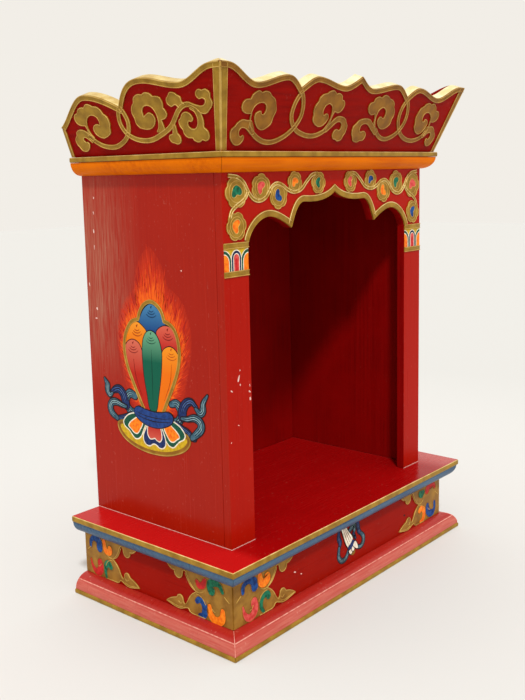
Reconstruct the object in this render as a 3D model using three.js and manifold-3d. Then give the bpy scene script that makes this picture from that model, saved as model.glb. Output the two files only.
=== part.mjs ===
// Home altar: a small painted and gilded wooden shrine, in millimetres, +Z up, front towards -Y.
// A box niche with a cusped arch stands on a moulded plinth and carries a crown of three leaning
// crest boards. The origin is the middle of its footprint, on the surface that it stands on.
import * as THREE from 'three';
import { mergeVertices } from 'three/addons/utils/BufferGeometryUtils.js';
import Module from 'manifold-3d';

const wasm = await Module();
wasm.setup();

// Boards
const BOARD = 9;
const BACK_BOARD = 7;
const CROWN_BOARD = 10;
const GAP = 0.3;
// Along a strip, half the gap across a square mitre
const MITRE_GAP = GAP * Math.SQRT1_2;
// Whole depth, rear face to the front of the crown's corners
const DEPTH = 226.6;
const REAR = DEPTH / 2;
// Plinth and the skirt round its foot
const PLINTH_HALF = 184;
const PLINTH_DEPTH = 207.5;
const SKIRT_OUT = 17.5;
const SKIRT_TOP = 18.5;
const SKIRT_FILLET = 4.5;
// Ledge
const LEDGE_OUT = 17;
const LEDGE_TOP = 84;
const LEDGE_BOARD = 6.3;
const LEDGE_MOULDING_FOOT = 63.5;
const LEDGE_MOULDING_OUT = 15.2;
// Body
const BODY_HALF = 165;
const BODY_DEPTH = 190.5;
const BODY_TOP = 428.5;
const CORNICE_OUT = 14.5;
const CORNICE_MOULDING_OUT = 13;
const ROOF_TOP = 446.5;
const ROOF_BOARD = 5;
// Arch opening
const OPENING_HALF = 132;
const SPRINGING = 366.5;
const ARCH_BAND = 6;
const CAPITAL_BANDS = [336.5, 361.7];
const CAPITAL_BAND = 5.2;
// Crown: how far its foot stands outside the body, and how far it leans out for each mm up
const CROWN_OUT = 10;
const CROWN_LEAN = 0.36;
const CREST_BAND = 5;
// Height of the raised gilt work
const RELIEF = 0.8;
const VINE_RELIEF = 0.65;
const BAND_RELIEF = 0.9;
const RELIEF_ROOT = 0.5;

const LEDGE_UNDERSIDE = LEDGE_TOP - LEDGE_BOARD;
const ROOF_UNDERSIDE = ROOF_TOP - ROOF_BOARD;
const BODY_FOOT = LEDGE_TOP + GAP;
const BODY_HEAD = ROOF_UNDERSIDE - GAP;
const CROWN_HALF = BODY_HALF + CROWN_OUT;
const CROWN_DEPTH = BODY_DEPTH + CROWN_OUT;

const paint = (color, roughness, metalness = 0) => {
  return new THREE.MeshStandardMaterial({ color, roughness, metalness });
};
const RED = paint(0xa5201c, 0.35);
const BLUE = paint(0x4d6a80, 0.45);
const ORANGE = paint(0xd0661a, 0.4);
const GOLD = paint(0xa58237, 0.4, 0.6);

// Directions and frames

const RIGHTWARD = new THREE.Vector3(1, 0, 0);
const FORWARD = new THREE.Vector3(0, -1, 0);
const BACKWARD = new THREE.Vector3(0, 1, 0);
const UPWARD = new THREE.Vector3(0, 0, 1);
const DOWNWARD = new THREE.Vector3(0, 0, -1);

// A frame on a face: along it, up it, and out of it, from a corner point.
function faceFrame(corner, along, up) {
  const out = new THREE.Vector3().crossVectors(along, up);
  return new THREE.Matrix4().makeBasis(along, up, out).setPosition(corner);
}

// The upward direction in a face that leans out of the upright by CROWN_LEAN.
function leaningUp(outward) {
  return new THREE.Vector3().copy(UPWARD).addScaledVector(outward, CROWN_LEAN).normalize();
}

// Solids

function toSolid(geometry) {
  const bare = geometry.clone();
  bare.deleteAttribute('normal');
  bare.deleteAttribute('uv');
  const merged = mergeVertices(bare, 1e-4);
  const vertProperties = new Float32Array(merged.attributes.position.array);
  const triVerts = new Uint32Array(merged.index.array);
  return new wasm.Manifold(new wasm.Mesh({ numProp: 3, vertProperties, triVerts }));
}

function toGeometry(solid) {
  const mesh = solid.getMesh();
  const geometry = new THREE.BufferGeometry();
  geometry.setAttribute('position', new THREE.BufferAttribute(mesh.vertProperties, 3));
  geometry.setIndex(new THREE.BufferAttribute(mesh.triVerts, 1));
  geometry.computeVertexNormals();
  return geometry;
}

// A plate of the outline, from one height above its face to another.
function plate(points, low, high) {
  const options = { depth: high - low, bevelEnabled: false };
  const geometry = new THREE.ExtrudeGeometry(new THREE.Shape(points), options);
  return geometry.translate(0, 0, low);
}

function box(low, high) {
  const size = new THREE.Vector3().subVectors(high, low);
  const middle = new THREE.Vector3().addVectors(low, high).multiplyScalar(0.5);
  return new THREE.BoxGeometry(size.x, size.y, size.z).translate(middle.x, middle.y, middle.z);
}

// Everything beyond a plane, on the side that the direction points to.
function beyond(point, direction) {
  const reach = 900;
  const turn = new THREE.Quaternion().setFromUnitVectors(UPWARD, direction);
  return new THREE.BoxGeometry(reach, reach, reach)
    .translate(0, 0, reach / 2)
    .applyQuaternion(turn)
    .translate(point.x, point.y, point.z);
}

// A board in a face's frame with raised work fused on, and what lies beyond the world's cuts taken away.
function carvedBoard(frame, outline, thickness, reliefs, cuts) {
  let solid = toSolid(plate(outline, -thickness, 0));
  for (const { points, height } of reliefs) {
    solid = solid.add(toSolid(plate(points, -RELIEF_ROOT, height)));
  }
  const toBoard = frame.clone().invert();
  for (const cut of cuts) {
    solid = solid.subtract(toSolid(cut.applyMatrix4(toBoard)));
  }
  return toGeometry(solid);
}

// The mitre plane at a front corner, cut back by half the gap, for the board in front or the one beside.
function mitre(side, half, depth, ofFrontBoard) {
  const along = new THREE.Vector3(side, 1, 0).normalize();
  const direction = ofFrontBoard ? along : along.negate();
  const corner = new THREE.Vector3(side * half, REAR - depth, 0);
  return beyond(corner.addScaledVector(direction, -GAP / 2), direction);
}

// Curves and outlines in a face, in mm along and up

const at = (x, y) => new THREE.Vector2(x, y);
const flip = (points, side) => points.map((p) => at(side * p.x, p.y));

// A curve through keys [x, y, slope before, slope after], with a fixed number of steps between two keys.
function throughKeys(keys, steps) {
  const points = [];
  for (let i = 0; i + 1 < keys.length; i += 1) {
    const [x0, y0, , slope0] = keys[i];
    const [x1, y1, slope1] = keys[i + 1];
    const span = x1 - x0;
    for (let k = 0; k < steps; k += 1) {
      const t = k / steps;
      const rise = y0 * (1 + 2 * t) * (1 - t) ** 2 + y1 * t * t * (3 - 2 * t);
      points.push(at(x0 + span * t, rise + span * (slope0 * t * (1 - t) ** 2 - slope1 * t * t * (1 - t))));
    }
  }
  const last = keys[keys.length - 1];
  points.push(at(last[0], last[1]));
  return points;
}

// Points along a run of cubic curves, each given by its two handles and its end.
function alongCurves(start, curves, steps) {
  const points = [start];
  let from = start;
  for (const [handleA, handleB, to] of curves) {
    const curve = new THREE.CubicBezierCurve(from, handleA, handleB, to);
    points.push(...curve.getPoints(steps).slice(1));
    from = to;
  }
  return points;
}

// The line moved sideways by an offset, left of its direction, with square corners kept.
function offsetLine(points, offset) {
  return points.map((point, i) => {
    const before = points[Math.max(i - 1, 0)];
    const after = points[Math.min(i + 1, points.length - 1)];
    const inward = (a, b) => at(a.y - b.y, b.x - a.x).normalize();
    const first = i > 0 ? inward(before, point) : inward(point, after);
    const second = i < points.length - 1 ? inward(point, after) : first;
    const middle = at(first.x + second.x, first.y + second.y).normalize();
    const stretch = Math.min(1 / Math.max(middle.dot(first), 0.3), 1.6);
    return at(point.x + middle.x * offset * stretch, point.y + middle.y * offset * stretch);
  });
}

// A band of even width beside a line.
function bandBeside(points, offset) {
  return [...points, ...offsetLine(points, offset).reverse()];
}

// A stem: a strip of even width along a smooth line through a few points.
function stem(through, width, steps) {
  const line = new THREE.SplineCurve(through.map(([x, y]) => at(x, y))).getPoints(steps);
  return [...offsetLine(line, width / 2), ...offsetLine(line, -width / 2).reverse()];
}

// Skirt, ledge and cornice strips

// A quarter round between a wall and a shelf: from out at the shelf's level to the wall at the other.
function quarterRound(out, shelf, wall, steps) {
  const points = [];
  for (let i = 0; i <= steps; i += 1) {
    const angle = (Math.PI / 2) * (i / steps);
    points.push(at(GAP + (out - GAP) * Math.cos(angle), shelf + (wall - shelf) * Math.sin(angle)));
  }
  return points;
}

const skirtProfile = [
  at(GAP, 0),
  at(SKIRT_OUT - 0.8, 0),
  at(SKIRT_OUT, 0.9),
  at(SKIRT_OUT, SKIRT_FILLET),
  ...quarterRound(SKIRT_OUT - 1.2, SKIRT_FILLET + 0.4, SKIRT_TOP, 6),
];
const ledgeProfile = [
  at(GAP, LEDGE_UNDERSIDE - GAP),
  ...quarterRound(LEDGE_MOULDING_OUT, LEDGE_UNDERSIDE - GAP, LEDGE_MOULDING_FOOT, 6),
];
const corniceProfile = [
  at(GAP, ROOF_UNDERSIDE - GAP),
  ...quarterRound(CORNICE_MOULDING_OUT, ROOF_UNDERSIDE - GAP, BODY_TOP, 6),
];

// A strip of the profile along the front of a box, both ends mitred.
function frontStrip(profile, half, depth) {
  const geometry = new THREE.ExtrudeGeometry(new THREE.Shape(profile), { depth: 1, bevelEnabled: false });
  const position = geometry.attributes.position;
  for (let i = 0; i < position.count; i += 1) {
    const out = position.getX(i);
    const end = position.getZ(i) < 0.5 ? 1 : -1;
    position.setXYZ(i, end * (half + out - MITRE_GAP), REAR - depth - out, position.getY(i));
  }
  geometry.computeVertexNormals();
  return geometry;
}

// A strip of the profile along one side of a box, mitred in front and square at the rear.
function sideStrip(profile, side, half, depth) {
  const geometry = new THREE.ExtrudeGeometry(new THREE.Shape(profile), { depth: 1, bevelEnabled: false });
  const position = geometry.attributes.position;
  for (let i = 0; i < position.count; i += 1) {
    const out = position.getX(i);
    const inFront = side < 0 ? position.getZ(i) < 0.5 : position.getZ(i) > 0.5;
    const y = inFront ? REAR - depth - out + MITRE_GAP : REAR;
    position.setXYZ(i, side * (half + out), y, position.getY(i));
  }
  geometry.computeVertexNormals();
  return geometry;
}

// Plinth ornament: a gilt cloud at each end of a face, drawn by distance from the end and height. Two lobes
// meet in a cusp, and two sprays reach on from them.
const PLINTH_CLOUD = [
  [0, 63.1], [87, 63.1], [84.5, 59.4], [80, 56.6], [76.5, 56.2], [75.4, 52.6], [72, 50.2], [68, 50.6],
  [65.2, 53.6], [64, 58.4], [61.6, 59.6], [59.4, 57.6], [57, 52.6], [52.6, 46.8], [47.4, 42.6],
  [52, 39.6], [56.6, 34.6], [59.4, 29.6], [62.6, 26], [64.6, 28], [65.4, 31.4], [68.4, 33.8], [72, 33],
  [74.4, 29.8], [79.6, 28.2], [85, 25.6], [89.4, 22.2], [83, 20.8], [75, 19.2], [68.6, 19.4],
  [62.6, 21.6], [58.4, 22.6], [56.4, 20.2], [53, 18.9], [0, 18.9],
];
// The clouds of the shorter side faces are narrower, more so at the rear.
const SIDE_REAR_STRETCH = 0.92;
const SIDE_FRONT_STRETCH = 0.97;

function cornerCloud(edge, inward, stretch = 1) {
  return { points: PLINTH_CLOUD.map(([x, y]) => at(edge + inward * x * stretch, y)), height: RELIEF };
}

function plinthFront() {
  const frame = faceFrame(new THREE.Vector3(0, REAR - PLINTH_DEPTH, 0), RIGHTWARD, UPWARD);
  const outline = [at(-PLINTH_HALF, 0), at(PLINTH_HALF, 0), at(PLINTH_HALF, LEDGE_UNDERSIDE - GAP)];
  outline.push(at(-PLINTH_HALF, LEDGE_UNDERSIDE - GAP));
  const reliefs = [cornerCloud(-PLINTH_HALF, 1), cornerCloud(PLINTH_HALF, -1)];
  const cuts = [-1, 1].map((side) => mitre(side, PLINTH_HALF, PLINTH_DEPTH, true));
  return { frame, geometry: carvedBoard(frame, outline, BOARD, reliefs, cuts) };
}

function plinthSide(side) {
  const along = side < 0 ? FORWARD : BACKWARD;
  const frame = faceFrame(new THREE.Vector3(side * PLINTH_HALF, REAR, 0), along, UPWARD);
  const head = LEDGE_UNDERSIDE - GAP;
  const outline = flip([at(0, 0), at(PLINTH_DEPTH, 0), at(PLINTH_DEPTH, head), at(0, head)], -side);
  const reliefs = [cornerCloud(0, 1, SIDE_REAR_STRETCH), cornerCloud(PLINTH_DEPTH, -1, SIDE_FRONT_STRETCH)];
  const flipped = reliefs.map(({ points, height }) => ({ points: flip(points, -side), height }));
  const cuts = [mitre(side, PLINTH_HALF, PLINTH_DEPTH, false)];
  return { frame, geometry: carvedBoard(frame, outline, BOARD, flipped, cuts) };
}

// Arch front

// The opening's edge from the springing on the left over the arch to the springing on the right.
function archEdge(steps) {
  const half = alongCurves(at(OPENING_HALF, SPRINGING), [
    [at(129.5, 376), at(117, 387.7), at(102.5, 387.7)],
    [at(93, 387.7), at(80, 381.5), at(70, 375.5)],
    [at(66, 384), at(61, 399.5), at(50, 399.5)],
    [at(36, 398.3), at(14, 398.5), at(0, 408)],
  ], steps);
  return [...flip(half, -1), ...half.reverse().slice(1)];
}

// Rosettes of the vine: distance from the middle, height and radius.
const ROSETTES = [
  [27, 417, 11],
  [64, 418, 10.8],
  [88.5, 406.4, 12.8],
  [113.5, 414.3, 13],
  [147, 411, 14.6],
  [148, 381, 13],
];
// The vine weaves over one rosette and under the next.
const VINE = [
  [31, 426], [37, 424.6], [45, 419], [54, 411.5], [65, 409], [75, 411.6], [83, 416], [91, 417.6], [98, 414.5],
  [106, 406], [115, 402.6], [124, 404.4], [130.5, 410.5], [137, 419.5], [145, 424.2], [157, 425.8],
];
const STILE_VINE = [[131, 412], [134.5, 406.5], [141, 402], [148, 398.6], [153.5, 394.5], [156, 389]];
const VINE_WIDTH = 3.6;
// The vine on a stile lies this much lower than the one it joins.
const VINE_STEP = 0.08;

function rosette(x, y, radius) {
  const lobes = 6;
  const points = [];
  for (let i = 0; i < lobes * 2; i += 1) {
    const angle = (Math.PI * (i + 0.5)) / lobes;
    const r = radius * (i % 2 === 0 ? 1 : 0.91);
    points.push(at(x + r * Math.cos(angle), y + r * Math.sin(angle)));
  }
  return points;
}

function archFront() {
  const frame = faceFrame(new THREE.Vector3(0, REAR - BODY_DEPTH, 0), RIGHTWARD, UPWARD);
  const edge = archEdge(5);
  const outline = [
    at(-BODY_HALF, BODY_FOOT),
    at(-OPENING_HALF, BODY_FOOT),
    ...edge,
    at(OPENING_HALF, BODY_FOOT),
    at(BODY_HALF, BODY_FOOT),
    at(BODY_HALF, BODY_HEAD),
    at(-BODY_HALF, BODY_HEAD),
  ];
  const reliefs = [{ points: bandBeside(edge, ARCH_BAND), height: BAND_RELIEF }];
  for (const side of [-1, 1]) {
    for (const [x, y, radius] of ROSETTES) {
      reliefs.push({ points: rosette(side * x, y, radius), height: RELIEF });
    }
    for (const [through, height] of [[VINE, VINE_RELIEF], [STILE_VINE, VINE_RELIEF - VINE_STEP]]) {
      reliefs.push({ points: flip(stem(through, VINE_WIDTH, 2 * through.length), side), height });
    }
    for (const foot of CAPITAL_BANDS) {
      const band = [at(OPENING_HALF, foot), at(BODY_HALF, foot), at(BODY_HALF, foot + CAPITAL_BAND)];
      band.push(at(OPENING_HALF, foot + CAPITAL_BAND));
      reliefs.push({ points: flip(band, side), height: RELIEF });
    }
  }
  return { frame, geometry: carvedBoard(frame, outline, BOARD, reliefs, []) };
}

// Crown

// The front crest, from the middle to a corner: an ogee peak, a lobe, a cusp, a lobe and the corner peak.
const FRONT_CREST = [
  [0, 74.3, 0.6, -0.6],
  [23.5, 64, 0, 0],
  [66, 70.2, 0, 0],
  [89, 58.6, -0.75, 0.8],
  [110, 69.2, 0, 0],
  [150, 60.4, 0, 0],
  [191, 74.6, 0, 0],
  [215, 74.6, 0, 0],
];
// The side crest, from the rear corner forward.
const SIDE_CREST = [
  [0, 31, 0.55, 0.55],
  [45, 59.6, 0, 0],
  [90.5, 45.5, -0.5, 1.7],
  [127, 69, 0, 0],
  [173, 61.6, 0, 0],
  [215, 74.6, 0, 0],
  [240, 74.6, 0, 0],
];
// The gilt band at a corner widens from the foot to the peak.
const CORNER_BAND_FOOT = 5;
const CORNER_BAND_HEAD = 9.5;
const CREST_FOOT = -8;
const STEM_WIDTH = 4.6;

// The scrolls of the front crest's left half: the outer one with its leaf and stem, then the inner one.
const OUTER_HEAD = [
  [-148, 20], [-149, 28], [-149, 33], [-156, 33], [-162, 36], [-163, 41], [-160, 45], [-154, 46],
  [-152, 50], [-146, 53.5], [-141, 52], [-137, 53.5], [-131, 52.5], [-128, 50], [-122, 47], [-119, 42],
  [-117, 37], [-119, 31], [-120, 25], [-125, 21], [-131, 19], [-137, 21], [-142, 26], [-144, 31],
  [-143, 34], [-139, 36], [-137, 36], [-135.5, 33.5], [-132.5, 33.5], [-131, 37], [-132.5, 41],
  [-137, 43], [-143, 42], [-147.5, 38], [-148.8, 31], [-147, 24], [-142, 17],
];
const OUTER_LEAF = [
  [-146, 27], [-152, 27.5], [-158, 28], [-163, 25.5], [-166, 22], [-170, 18], [-169, 12], [-167, 9],
  [-162, 5.5], [-156, 5.5], [-152, 9], [-151.5, 12.5], [-153.5, 14.5], [-156, 13], [-158, 14],
  [-159.5, 17.5], [-157, 20.5], [-151, 19.5], [-143, 14.5], [-139, 16],
];
const OUTER_STEM = [
  [-146.5, 20], [-141, 16], [-134, 12], [-124, 8.8], [-113, 8.6], [-102, 11.8], [-92.5, 17],
  [-84.5, 24.5], [-80.2, 33], [-80.6, 42], [-84, 50.5], [-89.5, 57],
];
const INNER_HEAD = [
  [-39, 21], [-34, 28], [-33, 34], [-31, 39], [-25, 38], [-20, 41], [-18, 46], [-20, 50], [-24, 51],
  [-26, 55], [-31, 57], [-35, 56], [-40, 59], [-46, 58], [-49, 56], [-55, 54.5], [-59, 51], [-59.5, 48],
  [-63, 43], [-63.5, 38], [-62, 35], [-61.5, 30], [-57, 26], [-51, 24], [-45, 25], [-40, 29],
  [-38.5, 33], [-40.5, 36.5], [-43, 37], [-46, 35.5], [-48, 36], [-49, 39.5], [-47, 44], [-42, 46],
  [-37, 43.5], [-34.8, 38], [-35.2, 32], [-38, 26], [-43, 20],
];
const INNER_LEAF = [
  [-37, 25], [-31, 30], [-25, 34.5], [-17, 35], [-10.5, 33], [-8, 30], [-4.5, 26], [-5, 19], [-7, 16],
  [-9, 12], [-15, 10.5], [-18, 12], [-23, 13], [-25, 17.5], [-23, 21.5], [-19.5, 22.5], [-17, 21.5],
  [-14.5, 23], [-15, 27.5], [-19, 29.5], [-24, 28.5], [-31, 23], [-38, 18.5],
];
const INNER_STEM = [
  [-37.5, 22], [-43, 18.5], [-52, 15.6], [-62, 15], [-72, 16.6], [-81, 19.5], [-89, 25], [-93.8, 33],
  [-93.6, 42], [-90.5, 50], [-86, 56],
];
// The stems of the right half. Its heads and leaves are the left half's, mirrored, stretched and shifted.
const RIGHT_OUTER_STEM = [
  [145.5, 23], [140, 18], [130, 14], [119, 12.8], [107, 14.6], [97, 18.8], [89, 25.5], [84, 34],
  [83.6, 43], [86.5, 51], [91.5, 57.5],
];
const RIGHT_INNER_STEM = [
  [46, 24], [52, 18.5], [61, 14.6], [71, 14], [81, 17], [90, 22.5], [96.4, 31], [97.6, 40.5],
  [94.5, 50], [89, 57.5],
];
const RIGHT_SHAPES = [
  { points: OUTER_HEAD, stretch: [1, 1], shift: [-0.6, 1] },
  { points: OUTER_LEAF, stretch: [0.93, 0.98], shift: [9, 2] },
  { points: INNER_HEAD, stretch: [1.08, 1], shift: [3.6, 0] },
  { points: INNER_LEAF, stretch: [1.24, 1], shift: [0.4, -0.8] },
];
// The scrolls of the side crest: the rear one and its leaf, the middle one, and the sprays in front of it.
const REAR_HEAD = [
  [36, 21], [37.5, 26], [36, 30.5], [31, 31], [26, 33], [23.8, 37.5], [25.5, 42], [30, 43.5], [33, 47],
  [38, 48.5], [42, 48], [46, 51], [51, 50.5], [55, 48.5], [61, 47.5], [65, 44], [66.5, 41], [71, 37],
  [72, 31], [70.5, 27], [69, 22], [64, 19], [58, 17.5], [52, 19], [47.5, 22.5], [46.5, 27], [49, 30.5],
  [53.5, 31.5], [57.5, 30.5], [57.6, 35], [54.5, 38.8], [49.5, 40], [44, 38.5], [40.5, 34.5],
  [39.2, 29], [41, 22.5], [44.5, 18], [40, 15],
];
const REAR_LEAF = [
  [40, 21], [36, 24.5], [31, 27], [25, 27.5], [20.5, 25.5], [19.5, 22.5], [15.5, 18.5], [15.5, 13.5],
  [18, 10], [21, 6.5], [27, 5.6], [31.5, 8], [34, 12], [32.5, 15], [29.5, 15], [27.5, 17.5], [30, 19.6],
  [34.5, 17.5], [40, 13.5],
];
const REAR_STEM = [
  [38, 20], [44, 15], [52, 10.8], [61, 8.8], [71, 8.8], [80, 11.6], [88, 16], [94, 22.5], [96.8, 31],
  [95, 39], [91.5, 45],
];
const MIDDLE_HEAD = [
  [141, 21], [141.5, 26], [141, 30.5], [146, 31.5], [149.5, 35], [148.5, 39], [147, 41], [148, 46],
  [146, 50.5], [141, 52], [138, 52], [134.5, 55], [129, 56], [125, 54.5], [119, 55], [113.5, 52.5],
  [111.5, 48], [107.5, 44.5], [105.8, 39], [107, 34.5], [107.5, 28.5], [111, 24.6], [118, 23],
  [125, 23.4], [130.5, 26.6], [133.4, 31.5], [131.8, 36], [127.5, 38.2], [123.5, 36.8], [119.6, 35],
  [119.8, 39.5], [122.5, 43], [127.5, 44.2], [132.5, 42.4], [135.8, 37.5], [136.4, 31], [134.8, 25],
  [131, 20],
];
const MIDDLE_STEM = [
  [184, 39], [178, 42], [171, 41.2], [164, 37.2], [157.5, 31], [151, 25], [144, 21], [134, 17],
  [124, 13.8], [114, 12.8], [104, 14], [96, 17], [89.5, 22], [86, 30], [87, 38], [90.5, 45],
];
const UPPER_BUD = [
  [166.5, 39.5], [163, 42.5], [160.5, 42], [157.5, 41], [153.5, 44], [153.6, 48.5], [156.5, 51],
  [160, 54], [165.5, 53], [167, 51.5], [171, 49], [171.5, 44.5], [174.5, 42.5],
];
const HOOKED_LEAF = [
  [180, 43.4], [186, 41.4], [192, 40], [196.5, 41], [198.4, 44.4], [196, 46], [192.5, 45.5],
  [189.8, 47.5], [189.6, 51], [193.5, 54], [197.5, 53], [202, 53.5], [205.8, 50], [205, 46],
  [206, 41.5], [204, 38], [200.5, 35.5], [196.5, 33], [191, 33.2], [186.5, 36],
];
const HANGING_HEAD = [
  [178.5, 41.8], [184.5, 39.5], [189.5, 34.5], [190.6, 28], [189, 21.5], [192.5, 17.5], [192, 12],
  [187.5, 9.4], [183.5, 10.5], [178.5, 8.6], [173.5, 10.5], [172.5, 12.5], [166.5, 13.5], [163.5, 17],
  [163.5, 20], [161, 24.5], [161.5, 29], [164.5, 31], [167.5, 34.6], [172.5, 36], [177, 34],
  [179, 29.5], [176.5, 27], [173, 27.4], [171.6, 24], [174, 21.2], [178.4, 21], [182.2, 24],
  [184, 29.5], [182.6, 35], [178, 38.4],
];
const LOWER_BUD = [
  [153, 26], [151.5, 22], [149.5, 17.5], [145.5, 16.8], [143.8, 13.4], [146, 9.8], [149, 9], [153, 7.8],
  [157.4, 10], [158, 14.5], [155.8, 18], [156, 22], [155.5, 26.5],
];

// A drawn outline as raised work, and a stem along a drawn line, low enough for two stems to cross.
function gilt(points) {
  return { points: points.map(([x, y]) => at(x, y)), height: RELIEF };
}

function giltStem(through) {
  return { points: stem(through, STEM_WIDTH, 2 * through.length), height: VINE_RELIEF };
}

function mirrored({ points, stretch, shift }) {
  return points.map(([x, y]) => [shift[0] - x * stretch[0], shift[1] + y * stretch[1]]);
}

// A quarter strip of gilt beside a mitred corner, in a board whose foot ends at half and whose ends lean out.
function cornerBand(half) {
  const head = 74;
  const lean = CROWN_LEAN / Math.hypot(1, CROWN_LEAN);
  const top = half + lean * head;
  const inner = [at(half - CORNER_BAND_FOOT, 0), at(top - CORNER_BAND_HEAD, head)];
  return [inner[0], at(half + 20, 0), at(top + 20, head), inner[1]];
}

function underRoofTop() {
  return beyond(new THREE.Vector3(0, 0, ROOF_TOP + GAP), DOWNWARD);
}

function crownFront() {
  const corner = new THREE.Vector3(0, REAR - CROWN_DEPTH, ROOF_TOP);
  const frame = faceFrame(corner, RIGHTWARD, leaningUp(FORWARD));
  const right = throughKeys(FRONT_CREST, 5);
  const crest = [...flip(right, -1).reverse(), ...right.slice(1)];
  const outline = [at(-215, CREST_FOOT), at(215, CREST_FOOT), ...[...crest].reverse()];
  const reliefs = [{ points: bandBeside(crest, -CREST_BAND), height: BAND_RELIEF }];
  for (const side of [-1, 1]) {
    reliefs.push({ points: flip(cornerBand(CROWN_HALF), side), height: BAND_RELIEF });
  }
  reliefs.push(...[OUTER_HEAD, OUTER_LEAF, INNER_HEAD, INNER_LEAF].map(gilt));
  reliefs.push(...RIGHT_SHAPES.map((shape) => gilt(mirrored(shape))));
  reliefs.push(...[OUTER_STEM, INNER_STEM, RIGHT_OUTER_STEM, RIGHT_INNER_STEM].map(giltStem));
  const cuts = [-1, 1].map((side) => mitre(side, CROWN_HALF, CROWN_DEPTH, true));
  cuts.push(underRoofTop());
  return { frame, geometry: carvedBoard(frame, outline, CROWN_BOARD, reliefs, cuts) };
}

function crownSide(side) {
  const outward = side < 0 ? RIGHTWARD.clone().negate() : RIGHTWARD;
  const along = side < 0 ? FORWARD : BACKWARD;
  const frame = faceFrame(new THREE.Vector3(side * CROWN_HALF, REAR, ROOF_TOP), along, leaningUp(outward));
  const crest = throughKeys(SIDE_CREST, 5);
  const outline = [at(0, CREST_FOOT), at(240, CREST_FOOT), ...[...crest].reverse()];
  const rearBand = [at(0, 0), at(4.5, 0), at(4.5, 33), at(0, 30.5)];
  const reliefs = [
    { points: bandBeside(crest, -CREST_BAND), height: BAND_RELIEF },
    { points: rearBand, height: BAND_RELIEF },
    { points: cornerBand(CROWN_DEPTH), height: BAND_RELIEF },
    ...[REAR_HEAD, REAR_LEAF, MIDDLE_HEAD, UPPER_BUD, HOOKED_LEAF, HANGING_HEAD, LOWER_BUD].map(gilt),
    ...[REAR_STEM, MIDDLE_STEM].map(giltStem),
  ];
  const flipped = reliefs.map(({ points, height }) => ({ points: flip(points, -side), height }));
  const cuts = [mitre(side, CROWN_HALF, CROWN_DEPTH, false), underRoofTop()];
  return { frame, geometry: carvedBoard(frame, flip(outline, -side), CROWN_BOARD, flipped, cuts) };
}

// Plain boards

function slab(half, depth, foot, head) {
  return box(new THREE.Vector3(-half, REAR - depth, foot), new THREE.Vector3(half, REAR, head));
}

function sidePanel(side) {
  const inner = BODY_HALF - BOARD;
  const front = REAR - BODY_DEPTH + BOARD + GAP;
  const low = new THREE.Vector3(inner, front, BODY_FOOT);
  const panel = box(low, new THREE.Vector3(BODY_HALF, REAR, BODY_HEAD));
  return panel.translate(side < 0 ? -inner - BODY_HALF : 0, 0, 0);
}

function backPanel() {
  return slab(BODY_HALF - BOARD - GAP, BACK_BOARD, BODY_FOOT, BODY_HEAD);
}

function plinthBack() {
  return slab(PLINTH_HALF - BOARD - GAP, BOARD, 0, LEDGE_UNDERSIDE - GAP);
}

// Scene graph

const altar = new THREE.Group();

function put(name, geometry, material, frame) {
  const mesh = new THREE.Mesh(geometry, material.clone());
  mesh.name = name;
  if (frame) {
    mesh.applyMatrix4(frame);
  }
  altar.add(mesh);
}

function putBoard(name, { frame, geometry }, material) {
  put(name, geometry, material, frame);
}

function putStrips(name, profile, half, depth, material) {
  put(`${name}_front`, frontStrip(profile, half, depth), material);
  put(`${name}_left`, sideStrip(profile, -1, half, depth), material);
  put(`${name}_right`, sideStrip(profile, 1, half, depth), material);
}

putStrips('skirt', skirtProfile, PLINTH_HALF, PLINTH_DEPTH, RED);
putBoard('plinth_front', plinthFront(), RED);
putBoard('plinth_left', plinthSide(-1), RED);
putBoard('plinth_right', plinthSide(1), RED);
put('plinth_back', plinthBack(), RED);
putStrips('ledge_moulding', ledgeProfile, PLINTH_HALF, PLINTH_DEPTH, BLUE);
put('ledge_board', slab(PLINTH_HALF + LEDGE_OUT, PLINTH_DEPTH + LEDGE_OUT, LEDGE_UNDERSIDE, LEDGE_TOP), RED);
put('side_panel_left', sidePanel(-1), RED);
put('side_panel_right', sidePanel(1), RED);
put('back_panel', backPanel(), RED);
putBoard('arch_front', archFront(), RED);
putStrips('cornice_moulding', corniceProfile, BODY_HALF, BODY_DEPTH, ORANGE);
put('roof_board', slab(BODY_HALF + CORNICE_OUT, BODY_DEPTH + CORNICE_OUT, ROOF_UNDERSIDE, ROOF_TOP), GOLD);
putBoard('crown_front', crownFront(), RED);
putBoard('crown_left', crownSide(-1), RED);
putBoard('crown_right', crownSide(1), RED);

export default altar;
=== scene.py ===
"""The looks of a small painted and gilded home altar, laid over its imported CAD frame.

Faces of the altar carry flat frames of their own, in millimetres: along the face, up it and out of it.
Ornament is drawn in those frames and put on the boards as raised gilt work, piped lines and paint.
"""
import math
import random
from functools import partial

import bmesh
import bpy
from mathutils import Euler, Matrix, Vector


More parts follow.
